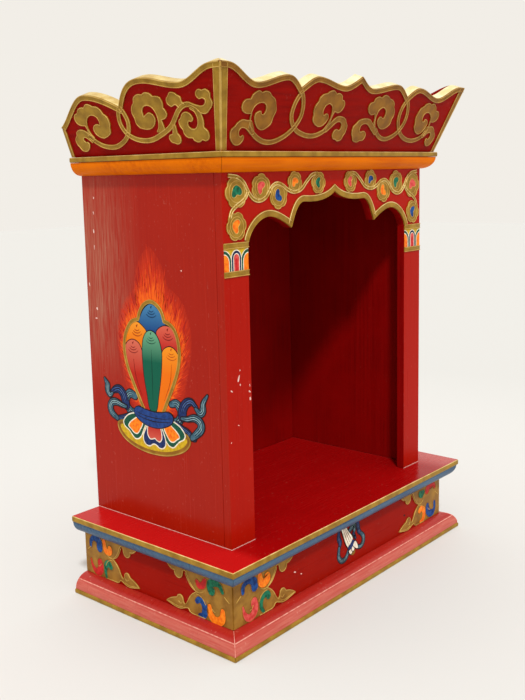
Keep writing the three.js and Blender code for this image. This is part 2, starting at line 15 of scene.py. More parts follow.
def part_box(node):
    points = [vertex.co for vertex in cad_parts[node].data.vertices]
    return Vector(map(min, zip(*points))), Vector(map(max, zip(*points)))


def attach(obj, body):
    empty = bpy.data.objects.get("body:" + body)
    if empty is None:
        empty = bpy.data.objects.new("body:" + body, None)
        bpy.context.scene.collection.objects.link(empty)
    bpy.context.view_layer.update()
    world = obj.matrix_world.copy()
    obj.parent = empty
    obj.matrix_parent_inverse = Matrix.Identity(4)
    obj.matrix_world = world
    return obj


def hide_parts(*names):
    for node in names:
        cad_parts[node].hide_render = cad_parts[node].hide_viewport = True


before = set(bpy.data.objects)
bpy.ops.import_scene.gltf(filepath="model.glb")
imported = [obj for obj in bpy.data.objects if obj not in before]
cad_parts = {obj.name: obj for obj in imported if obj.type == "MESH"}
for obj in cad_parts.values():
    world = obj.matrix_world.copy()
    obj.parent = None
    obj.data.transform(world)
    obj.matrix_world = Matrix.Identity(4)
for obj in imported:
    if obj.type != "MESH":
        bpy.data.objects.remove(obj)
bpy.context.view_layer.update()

MM = 0.001
random.seed(7)

# The altar's driving sizes, in millimetres
REAR = 113.3
PLINTH_HALF = 184
PLINTH_DEPTH = 207.5
SKIRT_OUT = 17.5
SKIRT_TOP = 18.5
SKIRT_FILLET = 4.5
LEDGE_UNDERSIDE = 77.7
LEDGE_MOULDING_FOOT = 63.5
LEDGE_MOULDING_OUT = 15.2
BODY_HALF = 165
BODY_DEPTH = 190.5
BODY_FOOT = 84.3
BODY_TOP = 428.5
BODY_HEAD = 441.2
ROOF_UNDERSIDE = 441.5
ROOF_TOP = 446.5
CORNICE_OUT = 13
OPENING_HALF = 132
SPRINGING = 366.5
CROWN_HALF = 175
CROWN_DEPTH = 200.5
CROWN_LEAN = 0.36
BOARD = 9
CROWN_BOARD = 10
GAP = 0.3
MITRE_GAP = GAP * math.sqrt(0.5)
RELIEF = 0.8
VINE_RELIEF = 0.65
BAND_RELIEF = 0.9
BEAD = 0.5
FINE_BEAD = 0.42
# How far the middle of a bead lies above the relief that carries it
BEAD_RISE = 0.05
COAT = 0.03
# How far gilt work stays away from the edge of its board
EDGE_ROOM = 0.3
# A face at least this large, in square metres, is shaded flat
FLAT_FROM = 3e-4


# Colours and finishes

# How much the paints shine back the pale room, and how much the dullest of them do
SHINE = 0.1
FAINT_SHINE = 0.03
GILT_SHINE = 0.2
THIN_COAT = 0.03
DUST = (226, 170, 150)
# Scales of the noises, per metre along each axis: the patches and specks of dust on lacquer, the clouds
# and the grain of the gilding, the clouds of the ornament paints, and the streaks of the flames along and
# across the halo
PATCHES = (22, 22, 22)
SPECKS = (380, 380, 300)
GILT_CLOUDS = (90, 90, 90)
GILT_GRAIN = (900, 900, 900)
GOUACHE_CLOUDS = (260, 260, 260)
GLOW_STREAKS = (150, 2.2, 1)
GOUACHE_SHADOW = 0.72
FINE_GRAIN = 0.0002


def srgb(red, green, blue):
    """A colour as a paint chart gives it, 0 to 255, as the shader wants it."""
    shares = [value / 255 for value in (red, green, blue)]
    linear = [share / 12.92 if share <= 0.04045 else ((share + 0.055) / 1.055) ** 2.4 for share in shares]
    return (*linear, 1.0)


def grey(value):
    return (value, value, value, 1.0)


class Finish:
    """A material in the making, and the nodes that its colour, gloss and grain are made with."""

    def __init__(self, name, roughness=0.4, metallic=0.0, coat=THIN_COAT, shine=SHINE):
        self.material = bpy.data.materials.new(name)
        self.material.use_nodes = True
        self.shader = self.material.node_tree.nodes["Principled BSDF"]
        for socket, value in (
            ("Roughness", roughness), ("Metallic", metallic), ("Specular IOR Level", shine),
            ("Coat Weight", coat), ("Coat Roughness", 0.2),
        ):
            self.feed(self.shader, socket, value)
        self.place = self.node("TexCoord").outputs["Object"]

    def feed(self, node, socket, value):
        """Gives an input its value, or the output of another node."""
        if isinstance(value, bpy.types.NodeSocket):
            self.material.node_tree.links.new(value, node.inputs[socket])
        else:
            node.inputs[socket].default_value = value

    def node(self, kind, inputs=(), **settings):
        node = self.material.node_tree.nodes.new(f"ShaderNode{kind}")
        for setting, value in settings.items():
            setattr(node, setting, value)
        for socket, value in inputs:
            self.feed(node, socket, value)
        return node

    def noise(self, scale, detail=3.0):
        """A noise in the object's own coordinates, with its own scale along each axis, per metre."""
        mapped = self.node("Mapping", [("Vector", self.place), ("Scale", scale)]).outputs["Vector"]
        return self.node("TexNoise", [("Vector", mapped), ("Scale", 1.0), ("Detail", detail)]).outputs["Fac"]

    def ramp(self, source, *stops):
        """The colours of a ramp over a value: two stops, each a place and a colour."""
        node = self.node("ValToRGB", [("Fac", source)])
        for (place, color), element in zip(stops, node.color_ramp.elements):
            element.position = place
            element.color = color
        return node.outputs["Color"]

    def grey_ramp(self, source, start, low, end, high):
        return self.ramp(source, (start, grey(low)), (end, grey(high)))

    def mix(self, factor, low, high):
        """Two colours, or the outputs that carry them, mixed by a factor."""
        return self.node("Mix", [("Factor", factor), (6, low), (7, high)], data_type="RGBA").outputs[2]

    def times(self, value, other):
        return self.node("Math", [(0, value), (1, other)], operation="MULTIPLY").outputs["Value"]

    def span(self, axis, start, end, kind="LINEAR"):
        """How far a point lies between two places along an axis, from 0 to 1."""
        split = self.node("SeparateXYZ", [("Vector", self.place)])
        inputs = [("Value", split.outputs[axis]), ("From Min", start), ("From Max", end)]
        return self.node("MapRange", inputs, interpolation_type=kind).outputs["Result"]

    def painted_sheen_share(self, fades, strength, scale):
        """How much of a painted sheen shows at a point: streaks, between the fades that bound it."""
        weakest, strongest = strength
        amount = self.grey_ramp(self.noise(scale, 4.0), 0.32, weakest, 0.7, strongest)
        for axis, clear, full in fades:
            amount = self.times(amount, self.span(axis, clear, full, "SMOOTHSTEP"))
        return amount

    def gloss(self, source, roughness):
        """Roughness between two values, after a noise."""
        low, high = roughness
        self.feed(self.shader, "Roughness", self.grey_ramp(source, 0.3, low, 0.7, high))

    def grain(self, height, strength, distance=0.0004):
        bump = self.node("Bump", [("Height", height), ("Strength", strength), ("Distance", distance)])
        self.feed(self.shader, "Normal", bump.outputs["Normal"])

    def brushed(self, light, deep, strokes, roughness=(0.3, 0.5), dust=0.0, bump=0.15, blooms=()):
        """Brushed paint: two shades along the strokes, worn gloss, dust, and a painted sheen where asked.

        A painted sheen is a pale tone that stands in for reflected light. It is its colour, the fades that
        bound it, each an axis, a clear place and a full one, its strength and the scale of its streaks.
        """
        marks = self.noise(strokes, 4.0)
        light = srgb(*light)
        shade = self.ramp(marks, (0.35, srgb(*deep)), (0.68, light))
        patchy = self.grey_ramp(self.noise(PATCHES), 0.38, 0, 0.68, 1)
        color = self.mix(patchy, shade, light)
        if dust:
            specks = self.noise(SPECKS, 2.0)
            color = self.mix(self.grey_ramp(specks, 0.66, 0, 0.78, dust), color, srgb(*DUST))
        for tone, *bloom in blooms:
            color = self.mix(self.painted_sheen_share(*bloom), color, srgb(*tone))
        self.gloss(marks, roughness)
        self.grain(marks, bump)
        return color

    def made(self, color):
        """The material, in its colour."""
        self.feed(self.shader, "Base Color", color)
        return self.material


def lacquer(name, *paint, coat=THIN_COAT, shine=SHINE, **options):
    """Paint under lacquer, in its light shade, its deep shade and the scale of its brush strokes."""
    finish = Finish(name, coat=coat, shine=shine)
    return finish.made(finish.brushed(*paint, **options))


def gilt(name, light, deep, metallic=0.35, roughness=(0.36, 0.55)):
    """Bronze paint over gesso: uneven in tone, with a fine grain."""
    finish = Finish(name, metallic=metallic, coat=0.0, shine=GILT_SHINE)
    cloud = finish.noise(GILT_CLOUDS, 4.0)
    finish.gloss(cloud, roughness)
    finish.grain(finish.noise(GILT_GRAIN, 2.0), 0.2, FINE_GRAIN)
    return finish.made(finish.ramp(cloud, (0.36, srgb(*deep)), (0.64, srgb(*light))))


def gouache(name, light, deep=None, roughness=0.42):
    """Opaque ornament paint, a little uneven from the brush."""
    finish = Finish(name, roughness)
    color = srgb(*light)
    shadow = srgb(*deep) if deep else (*(GOUACHE_SHADOW * share for share in color[:3]), 1.0)
    cloud = finish.noise(GOUACHE_CLOUDS)
    finish.grain(cloud, 0.15, FINE_GRAIN)
    return finish.made(finish.ramp(cloud, (0.35, shadow), (0.6, color)))


def shaded_paint(name, foot, head, foot_at, head_at):
    """Paint that fades from one colour at a height, in millimetres, to another at a second height."""
    finish = Finish(name, 0.38)
    rise = finish.span("Z", foot_at * MM, head_at * MM)
    return finish.made(finish.ramp(rise, (0.0, srgb(*foot)), (1.0, srgb(*head))))


def flame_glow_paint(name, inner, outer, ground):
    """Flame paint in streaks over the panel's paint, fading outwards by the place that the glow carries."""
    finish = Finish(name)
    place = finish.node("Attribute", attribute_name="halo_place").outputs["Vector"]
    stretch = finish.node("Mapping", [("Vector", place), ("Scale", GLOW_STREAKS)]).outputs["Vector"]
    streaks = finish.node("TexNoise", [("Vector", stretch), ("Scale", 1.0)]).outputs["Fac"]
    reach = finish.times(finish.node("SeparateXYZ", [("Vector", place)]).outputs["Y"], 0.5)
    inputs = [(0, streaks), (1, 0.8), (2, reach)]
    sway = finish.node("Math", inputs, operation="MULTIPLY_ADD").outputs["Value"]
    tone = finish.ramp(sway, (0.38, srgb(*inner)), (0.66, srgb(*outer)))
    fade = finish.grey_ramp(sway, 0.52, 1, 0.97, 0)
    return finish.made(finish.mix(fade, finish.brushed(**ground), tone))


def palette(kind, paints):
    """Ornament paints by the names of their colours."""
    return {tone: gouache(f"{kind}_{tone}", *shades) for tone, shades in paints.items()}


# Scales of brush strokes and of streaks, per metre along each axis
UPRIGHT_STROKES = (420, 420, 9)
LEVEL_STROKES = (12, 12, 300)
MOULDING_STROKES = (14, 300, 300)
UPRIGHT_STREAKS = (700, 700, 40)
LEVEL_STREAKS = (40, 40, 700)

# The left panel carries a painted sheen at the rear and above, fading out near its top as painted shade under
# the cornice, and the skirt a painted sheen below its shoulder.
PANEL_SHEEN_FADES = (("Y", 0.02, 0.1), ("Z", 0.2, 0.31), ("Z", 0.49, 0.34))
PANEL_PAINTED_SHEEN = ((176, 126, 102), PANEL_SHEEN_FADES, (0.06, 0.6), UPRIGHT_STREAKS)
SKIRT_PAINTED_SHEEN = ((216, 138, 118), (("Z", 0.0158, 0.0118),), (0.2, 0.45), LEVEL_STREAKS)
# The ledge has painted light on the left and a painted sheen on the right.
LEDGE_PAINTED_LIGHT = ((194, 22, 22), (("X", -0.155, -0.172),), (0.75, 0.95), UPRIGHT_STREAKS)
LEDGE_PAINTED_SHEEN = ((216, 122, 118), (("X", 0.15, 0.19),), (0.3, 0.75), UPRIGHT_STREAKS)
PANEL_PAINT = {
    "light": (158, 26, 5), "deep": (152, 22, 4), "strokes": UPRIGHT_STROKES, "roughness": (0.22, 0.28),
    "dust": 0.1, "bump": 0.04, "blooms": (PANEL_PAINTED_SHEEN,),
}
PANEL_RED = lacquer("panel_red", **PANEL_PAINT)
FRAME_RED = lacquer(
    "frame_red", (165, 19, 3), (160, 17, 3), UPRIGHT_STROKES, (0.27, 0.34), 0.06, 0.04, coat=0.01, shine=0.05,
)
PLINTH_RED = lacquer(
    "plinth_red", (148, 17, 4), (138, 13, 3), LEVEL_STROKES, (0.25, 0.38), 0.08, 0.1,
    coat=0.0, shine=FAINT_SHINE,
)
CREST_RED = lacquer(
    "crest_red", (142, 10, 2), (124, 5, 1), (30, 30, 300), (0.32, 0.5), 0.05, coat=0.0, shine=FAINT_SHINE,
)
LEDGE_RED = lacquer(
    "ledge_red", (160, 7, 8), (154, 6, 7), (14, 160, 160), (0.22, 0.3), 0.12, 0.05, (LEDGE_PAINTED_LIGHT, LEDGE_PAINTED_SHEEN),
)
SKIRT_RED = lacquer(
    "skirt_red", (172, 38, 30), (162, 32, 24), MOULDING_STROKES, (0.25, 0.4), 0.3, coat=0.4,
    blooms=(SKIRT_PAINTED_SHEEN,),
)
NICHE_RED = lacquer("niche_red", (138, 3, 2), (120, 2, 2), UPRIGHT_STROKES, (0.4, 0.55), 0.03, coat=0.02)
ORANGE = lacquer(
    "cornice_orange", (226, 114, 0), (208, 96, 0), MOULDING_STROKES, (0.35, 0.5), coat=0.0, shine=FAINT_SHINE,
)
BLUE = lacquer("moulding_blue", (74, 104, 132), (50, 78, 108), MOULDING_STROKES, (0.3, 0.45), 0.2)
BARE_WOOD = lacquer("aged_wood", (140, 98, 62), (100, 66, 40), (10, 10, 160), (0.6, 0.8), bump=0.4, coat=0.0)

GOLD = gilt("old_gold", (168, 130, 42), (138, 102, 26))
PLINTH_GOLD = gilt("plinth_gold", (164, 120, 46), (134, 92, 30))
# Darker gold: painted shade on the front crest, and the darker gold of the plinth jewels' rims and of the
# dish
DARK_GOLD = gilt("shadowed_gold", (154, 104, 28), (126, 80, 16))
# Pale gold as a painted highlight: on the shelves' upper arrises, the side crests' edges, and the arch's
# outer border line and vine
HIGHLIGHT_GOLD = gilt("edge_gold", (232, 210, 146), (206, 172, 96))
# The piped gold darkened, as painted shade on the front crest
SHADED_PIPED_GOLD = gilt("muted_gold", (184, 144, 74), (154, 114, 50), 0.3, (0.34, 0.5))
PALE_GOLD = gilt("piped_gold", (204, 168, 88), (178, 138, 60), 0.3, (0.34, 0.5))
# A brighter painted highlight, on the front crest's edges
BRIGHT_HIGHLIGHT_GOLD = gilt("bright_edge", (250, 238, 196), (240, 216, 152))

YELLOW = gouache("chrome_yellow", (206, 168, 30))
WHITE = gouache("white_line", (240, 232, 214), (214, 200, 176))
NAVY = gouache("navy", (24, 36, 78))
# A dark navy on the underside of the ledge moulding, as painted shade
MOULDING_PAINTED_SHADE = gouache("moulding_foot", (40, 46, 74))
# Pale pink: a painted highlight on the skirt's shoulder, and paint rubbed pale on its mitres
RUBBED_PINK_AND_HIGHLIGHT = gouache("rubbed_pink", (228, 158, 142), (206, 112, 98))
DARK_GREEN = gouache("dark_green", (20, 84, 62))
GREY_TEAL = gouache("grey_teal", (110, 134, 128))
INK = gouache("dark_ink", (34, 20, 22), (22, 14, 16), 0.5)
CHIPPED = gouache("chipped_ground", (232, 200, 190), (206, 160, 150), 0.7)
SHELL_SHADE = gouache("shell_shade", (150, 112, 92), (110, 76, 62))
CUSHION_BLUE = gouache("cushion_blue", (32, 66, 132), (22, 48, 104))
WHITE_TEAL = gouache("pale_teal", (142, 178, 184), (110, 148, 158))
JEWELS = palette("jewel", {
    "red": [(196, 36, 36)],
    "pink": [(214, 84, 78), (190, 50, 48)],
    "orange": [(244, 134, 24), (226, 96, 10)],
    "blue": [(24, 76, 144), (8, 38, 96)],
    "green": [(26, 118, 84), (6, 68, 48)],
})
SCARVES = palette("scarf", {
    "navy": [(30, 50, 104), (18, 32, 76)],
    "teal": [(68, 104, 122), (40, 72, 90)],
    "sky": [(72, 106, 160), (48, 80, 136)],
})
# The bright lines along a scarf's folds
SCARF_SHINES = {"teal": WHITE_TEAL, "navy": SCARVES["sky"]}
FLAMES = palette("flame", {
    "orange": [(232, 96, 18), (214, 72, 14)],
    "red": [(206, 52, 18), (188, 38, 16)],
    "dark": [(160, 20, 12), (146, 14, 10)],
})
FLAME_GLOW = flame_glow_paint("flame_glow", (238, 104, 14), (204, 52, 14), PANEL_PAINT)
STONE_PAINTS = {
    "blue": shaded_paint("stone_blue", (6, 56, 118), (64, 124, 168), 278, 306),
    "orange": shaded_paint("stone_orange", (228, 116, 2), (232, 146, 36), 270, 287),
    "red": shaded_paint("stone_red", (182, 34, 26), (206, 90, 70), 266, 286),
    "rose": shaded_paint("stone_rose", (176, 30, 14), (204, 100, 78), 236, 268),
    "amber": shaded_paint("stone_amber", (226, 108, 0), (232, 142, 26), 240, 267),
    "green": shaded_paint("stone_green", (2, 88, 66), (104, 164, 128), 250, 281),
}
PETAL_RED = shaded_paint("petal_red", (176, 36, 26), (206, 92, 74), 186, 170)
STONE_INKS = palette("ink", {
    "blue": [(16, 56, 96)],
    "orange": [(170, 60, 6)],
    "red": [(128, 18, 18)],
    "rose": [(132, 24, 20)],
    "amber": [(176, 66, 6)],
    "green": [(6, 52, 42)],
})


# Curves and outlines in a face, in millimetres

def flip(points, side=-1, shift=(0, 0), stretch=(1, 1)):
    """The points mirrored where side is -1, stretched, and moved."""
    return [(side * x * stretch[0] + shift[0], y * stretch[1] + shift[1]) for x, y in points]


def flowing(points, steps=4, closed=True):
    """A smooth line through the points. A point given twice running is a sharp corner."""
    knots = []
    for point in points:
        if knots and knots[-1][0] == point:
            knots[-1] = (point, True)
        else:
            knots.append((point, False))
    count = len(knots)
    line = []

    def tangent(index, other):
        here, sharp = knots[index]
        ahead = Vector(other) - Vector(here)
        ended = not closed and index in (0, count - 1)
        if sharp or ended:
            return ahead
        before = Vector(knots[index - 1][0])
        after = Vector(knots[(index + 1) % count][0])
        chord = after - before
        reach = (Vector(here) - before).length + (after - Vector(here)).length
        return chord * (ahead.length / reach)

    for i in range(count if closed else count - 1):
        j = (i + 1) % count
        start, end = Vector(knots[i][0]), Vector(knots[j][0])
        leave = tangent(i, knots[j][0])
        arrive = tangent(j, knots[i][0])
        arrive = -arrive if (knots[j][1] or (not closed and j == count - 1)) else arrive
        for k in range(steps):
            t = k / steps
            place = (
                start * (2 * t ** 3 - 3 * t ** 2 + 1)
                + leave * (t ** 3 - 2 * t ** 2 + t)
                + end * (3 * t ** 2 - 2 * t ** 3)
                + arrive * (t ** 3 - t ** 2)
            )
            line.append((place.x, place.y))
    if not closed:
        line.append(knots[-1][0])
    return line


def through_keys(keys, steps=14):
    """A curve through keys of place, height, slope before and slope after."""
    line = []
    for (x0, y0, _, slope0), (x1, y1, slope1, _) in zip(keys, keys[1:]):
        span = x1 - x0
        for k in range(steps):
            t = k / steps
            rise = y0 * (1 + 2 * t) * (1 - t) ** 2 + y1 * t * t * (3 - 2 * t)
            rise += span * (slope0 * t * (1 - t) ** 2 - slope1 * t * t * (1 - t))
            line.append((x0 + span * t, rise))
    line.append(keys[-1][:2])
    return line


def offset(points, distance, closed=True):
    """The line moved sideways, to the left of its direction."""
    moved = []
    count = len(points)
    for i, point in enumerate(points):
        here = Vector(point)
        before = Vector(points[i - 1]) if closed or i else here
        after = Vector(points[(i + 1) % count]) if closed or i + 1 < count else here
        sides = [b - a for a, b in ((before, here), (here, after)) if (b - a).length > 1e-6]
        normals = [Vector((-side.y, side.x)).normalized() for side in sides]
        middle = sum(normals, Vector((0, 0)))
        if middle.length < 1e-6:
            middle = normals[0]
        middle.normalize()
        stretch = min(1 / max(middle.dot(normals[0]), 0.4), 1.5)
        place = here + middle * distance * stretch
        moved.append((place.x, place.y))
    return moved


def turning(points):
    """Twice the area inside a closed outline, positive where it runs anticlockwise."""
    return sum(a[0] * b[1] - b[0] * a[1] for a, b in zip(points, points[1:] + points[:1]))


def inset(points, distance):
    """A closed outline drawn in by a distance."""
    return offset(points, distance if turning(points) > 0 else -distance)


def strip(line, width):
    """A ribbon of a width along an open line."""
    left, right = [], []
    for a, b in zip(offset(line, 1, False), line):
        half = (Vector(a) - Vector(b)).normalized() * width / 2
        left.append((b[0] + half.x, b[1] + half.y))
        right.append((b[0] - half.x, b[1] - half.y))
    return left + right[::-1]


def brush(points, widths, side=1, steps=4, tip_steps=4):
    """The outline of a brush stroke: round ends, and a width that runs through the given widths."""
    line = flowing(flip(points, side), steps, closed=False)
    edges = []
    for hand in (1, -1):
        edge = []
        for i, (beside, here) in enumerate(zip(offset(line, hand, False), line)):
            share = i / (len(line) - 1) * (len(widths) - 1)
            k = min(int(share), len(widths) - 2)
            width = widths[k] + (widths[k + 1] - widths[k]) * (share - k)
            edge.append(Vector(here) + (Vector(beside) - Vector(here)).normalized() * width / 2)
        edges.append(edge)
    left, right = edges
    outline = list(left)
    for middle, spoke_end, rest in ((line[-1], left[-1], right[::-1]), (line[0], right[0], [])):
        spoke = spoke_end - Vector(middle)
        for k in range(1, tip_steps):
            outline.append(Vector(middle) + Matrix.Rotation(-math.pi * k / tip_steps, 2) @ spoke)
        outline += rest
    return [(place.x, place.y) for place in outline]


def oblong(left, right, foot, head):
    return [(left, foot), (right, foot), (right, head), (left, head)]


def oval(x, y, wide, high, turn, sides):
    points = []
    for i in range(sides):
        angle = 2 * math.pi * i / sides
        across, up = wide * math.cos(angle), high * math.sin(angle)
        points.append((
            x + across * math.cos(turn) - up * math.sin(turn),
            y + across * math.sin(turn) + up * math.cos(turn),
        ))
    return points


def lobed(x, y, radius, lobes, depth, turn, steps=6):
    """A round with a scalloped rim."""
    points = []
    for i in range(lobes * steps):
        angle = turn + 2 * math.pi * i / (lobes * steps)
        share = abs(math.sin(math.pi * i / steps))
        reach = radius * (1 - depth * (1 - share) ** 1.6)
        points.append((x + reach * math.cos(angle), y + reach * math.sin(angle)))
    return points


# Faces of the altar

class Face:
    """A flat frame on the altar: along it, up it and out of it from a corner, in millimetres."""

    def __init__(self, corner, along, up):
        self.corner = Vector(corner)
        self.along = Vector(along).normalized()
        self.up = Vector(up).normalized()
        self.out = self.along.cross(self.up)

    def at(self, x, y, height=0.0):
        return (self.corner + self.along * x + self.up * y + self.out * height) * MM


def faces_round(half, depth, foot=0, lean=0.0):
    """The front, left and right faces of a box that stands against the rear plane."""
    return (
        Face((0, REAR - depth, foot), (1, 0, 0), (0, -lean, 1)),
        Face((-half, REAR, foot), (0, -1, 0), (-lean, 0, 1)),
        Face((half, REAR, foot), (0, 1, 0), (lean, 0, 1)),
    )


ARCH, LEFT_PANEL, RIGHT_PANEL = faces_round(BODY_HALF, BODY_DEPTH)
PLINTH_FRONT, PLINTH_LEFT, PLINTH_RIGHT = faces_round(PLINTH_HALF, PLINTH_DEPTH)
CREST_FRONT, CREST_LEFT, CREST_RIGHT = faces_round(CROWN_HALF, CROWN_DEPTH, ROOF_TOP, CROWN_LEAN)


# Pieces

def link_object(name, data):
    thing = bpy.data.objects.new(name, data)
    bpy.context.scene.collection.objects.link(thing)
    return thing


def add_piece(name, mesh, materials, nodes=(), smooth=35, flat_from=FLAT_FROM):
    """Puts a mesh into the scene as a piece of the altar, in place of the CAD nodes that it stands for."""
    for material in materials:
        mesh.materials.append(material)
    mesh.set_sharp_from_angle(angle=math.radians(smooth))
    for polygon in mesh.polygons:
        polygon.use_smooth = polygon.area < flat_from
    piece = link_object(name, mesh)
    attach(piece, "root")
    if nodes:
        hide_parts(*nodes)


def finish_mesh(name, bm):
    bmesh.ops.recalc_face_normals(bm, faces=bm.faces[:])
    mesh = bpy.data.meshes.new(name)
    bm.to_mesh(mesh)
    bm.free()
    return mesh


def extruded(bm, faces):
    """Doubles the faces, and returns the corners and the faces of the double, joined to them by sides."""
    parts = bmesh.ops.extrude_face_region(bm, geom=faces, use_keep_orig=True)["geom"]
    corners = [part for part in parts if isinstance(part, bmesh.types.BMVert)]
    return corners, [part for part in parts if isinstance(part, bmesh.types.BMFace)]


def ease_edges(bm, edges, width, segments=2):
    bmesh.ops.bevel(
        bm, geom=edges, offset=width * MM, offset_type="OFFSET", segments=segments,
        profile=0.5, affect="EDGES", material=-1, clamp_overlap=True,
    )


def add_plate(bm, face, outline, low, high, eased=0.0):
    """A plate of the outline between two heights over a face, its upper rim eased."""
    foot = bm.faces.new([bm.verts.new(face.at(x, y, low)) for x, y in outline])
    corners, tops = extruded(bm, [foot])
    bmesh.ops.translate(bm, verts=corners, vec=face.out * (high - low) * MM)
    if eased:
        ease_edges(bm, [edge for top in tops for edge in top.edges], eased)


class Ornament:
    """Collects raised plates, paint and piped lines by finish, and makes one piece of each."""

    def __init__(self, name):
        self.name = name
        self.meshes = {}
        self.lines = {}

    def plate(self, finish, face, outline, high, low=-0.3, eased=0.0):
        bm = self.meshes.setdefault(finish.name, (finish, bmesh.new()))[1]
        add_plate(bm, face, outline, low, high, eased)

    def paint(self, finish, face, outline, coat, base=0.0):
        """A coat of paint: later coats lie a hair higher."""
        self.plate(finish, face, outline, base + COAT * coat, base - 0.1)

    def pipe(self, finish, face, line, height, radius=BEAD, closed=False):
        """A bead of gesso laid along a line."""
        beads = self.lines.setdefault((finish.name, radius), (finish, []))[1]
        beads.append(([face.at(x, y, height) for x, y in line], closed))

    def _beads(self, name, lines, radius):
        curve = bpy.data.curves.new(name, "CURVE")
        curve.dimensions = "3D"
        curve.bevel_depth = radius * MM
        curve.bevel_resolution = 1
        curve.use_fill_caps = True
        for points, closed in lines:
            spline = curve.splines.new("POLY")
            spline.points.add(len(points) - 1)
            for knot, place in zip(spline.points, points):
                knot.co = (*place, 1.0)
            spline.use_cyclic_u = closed
        shape = link_object(name, curve)
        bpy.context.view_layer.update()
        depsgraph = bpy.context.evaluated_depsgraph_get()
        mesh = bpy.data.meshes.new_from_object(shape.evaluated_get(depsgraph))
        bpy.data.objects.remove(shape)
        mesh.materials.clear()
        return mesh

    def make(self):
        for finish, bm in self.meshes.values():
            name = f"{self.name}_{finish.name}"
            add_piece(name, finish_mesh(name, bm), [finish])
        for (_, radius), (finish, lines) in self.lines.items():
            name = f"{self.name}_lines_{finish.name}_{round(radius * 100)}"
            add_piece(name, self._beads(name, lines, radius), [finish], smooth=80)


# Boards, ledge and mouldings

def box_board(name, node, finishes, eased, pick=None):
    """A plain board where the CAD node is, with softened arrises."""
    low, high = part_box(node)
    bm = bmesh.new()
    bmesh.ops.create_cube(bm, size=1.0)
    bmesh.ops.scale(bm, vec=high - low, verts=bm.verts)
    bmesh.ops.translate(bm, vec=(low + high) / 2, verts=bm.verts)
    ease_edges(bm, bm.edges[:], eased, 3)
    bm.normal_update()
    if pick:
        for face in bm.faces:
            face.material_index = pick(face)
    add_piece(name, finish_mesh(name, bm), finishes, [node])


def shelf_finish(face):
    """The top and the bottom, the edge, and the upper arris of the edge with a painted highlight."""
    if abs(face.normal.z) > 0.9:
        return 0
    return 2 if face.normal.z > 0.5 else 1


def faces_inwards(face):
    return 1 if face.normal.x * face.calc_center_median().x < -0.5 * BODY_HALF * MM else 0


def make_boards():
    for place in ("left", "right"):
        finishes = [PANEL_RED, NICHE_RED]
        box_board(f"{place}_wall", f"side_panel_{place}", finishes, 0.25, faces_inwards)
    box_board("back_wall", "back_panel", [NICHE_RED], 0.4)
    box_board("plinth_back_board", "plinth_back", [BARE_WOOD], 0.6)
    box_board("ledge_shelf", "ledge_board", [LEDGE_RED, GOLD, HIGHLIGHT_GOLD], 1.4, shelf_finish)
    box_board("roof_shelf", "roof_board", [CREST_RED, GOLD, HIGHLIGHT_GOLD], 1.2, shelf_finish)


FILLET_ROUNDING = 1.2
FILLET_STEP = 0.4


def round_at(out, shelf, wall, angle):
    """Distance out and height of a place on a quarter round, by the angle from its shelf."""
    return GAP + (out - GAP) * math.cos(angle), shelf + (wall - shelf) * math.sin(angle)


def quarter_round(out, shelf, wall, steps=14):
    return [round_at(out, shelf, wall, math.pi / 2 * i / steps) for i in range(steps + 1)]


def nose(out, low, high, radius, steps=4):
    """The front of a flat fillet with its arrises rounded."""
    angles = [math.pi / 2 * i / steps for i in range(steps + 1)]
    turns = [(math.sin(angle), math.cos(angle)) for angle in angles]
    lower = [(out - radius + radius * sine, low + radius - radius * cosine) for sine, cosine in turns]
    return lower + [(out - radius + radius * cosine, high - radius + radius * sine) for sine, cosine in turns]


def ovolo(out, head, foot):
    """A quarter round under a shelf."""
    return [(GAP, head - GAP)] + quarter_round(out, head - GAP, foot)


SKIRT_ROUND = (SKIRT_OUT - FILLET_ROUNDING, SKIRT_FILLET + FILLET_STEP, SKIRT_TOP)
SKIRT_PROFILE = [(GAP, 0)] + nose(SKIRT_OUT, 0, SKIRT_FILLET, FILLET_ROUNDING) + quarter_round(*SKIRT_ROUND)
LEDGE_PROFILE = ovolo(LEDGE_MOULDING_OUT, LEDGE_UNDERSIDE, LEDGE_MOULDING_FOOT)
CORNICE_PROFILE = ovolo(CORNICE_OUT, ROOF_UNDERSIDE, BODY_TOP)
# The skirt's gilt fillet ends this high, and so does the painted shade on the ledge moulding's foot.
SKIRT_GILT_TO = SKIRT_FILLET + 0.2
MOULDING_SHADE_TO = LEDGE_MOULDING_FOOT + 4.5
# Piece, node, profile, the box that it runs round, finishes, slot, and where the second finish ends
MOULDINGS = [
    ("skirt_strip", "skirt", SKIRT_PROFILE, PLINTH_HALF, PLINTH_DEPTH, [SKIRT_RED, GOLD], "red_lacquer",
     SKIRT_GILT_TO),
    ("ledge_strip", "ledge_moulding", LEDGE_PROFILE, PLINTH_HALF, PLINTH_DEPTH, [BLUE, MOULDING_PAINTED_SHADE],
     "blue_paint", MOULDING_SHADE_TO),
    ("cornice_strip", "cornice_moulding", CORNICE_PROFILE, BODY_HALF, BODY_DEPTH, [ORANGE],
     "orange_paint", 0),
]


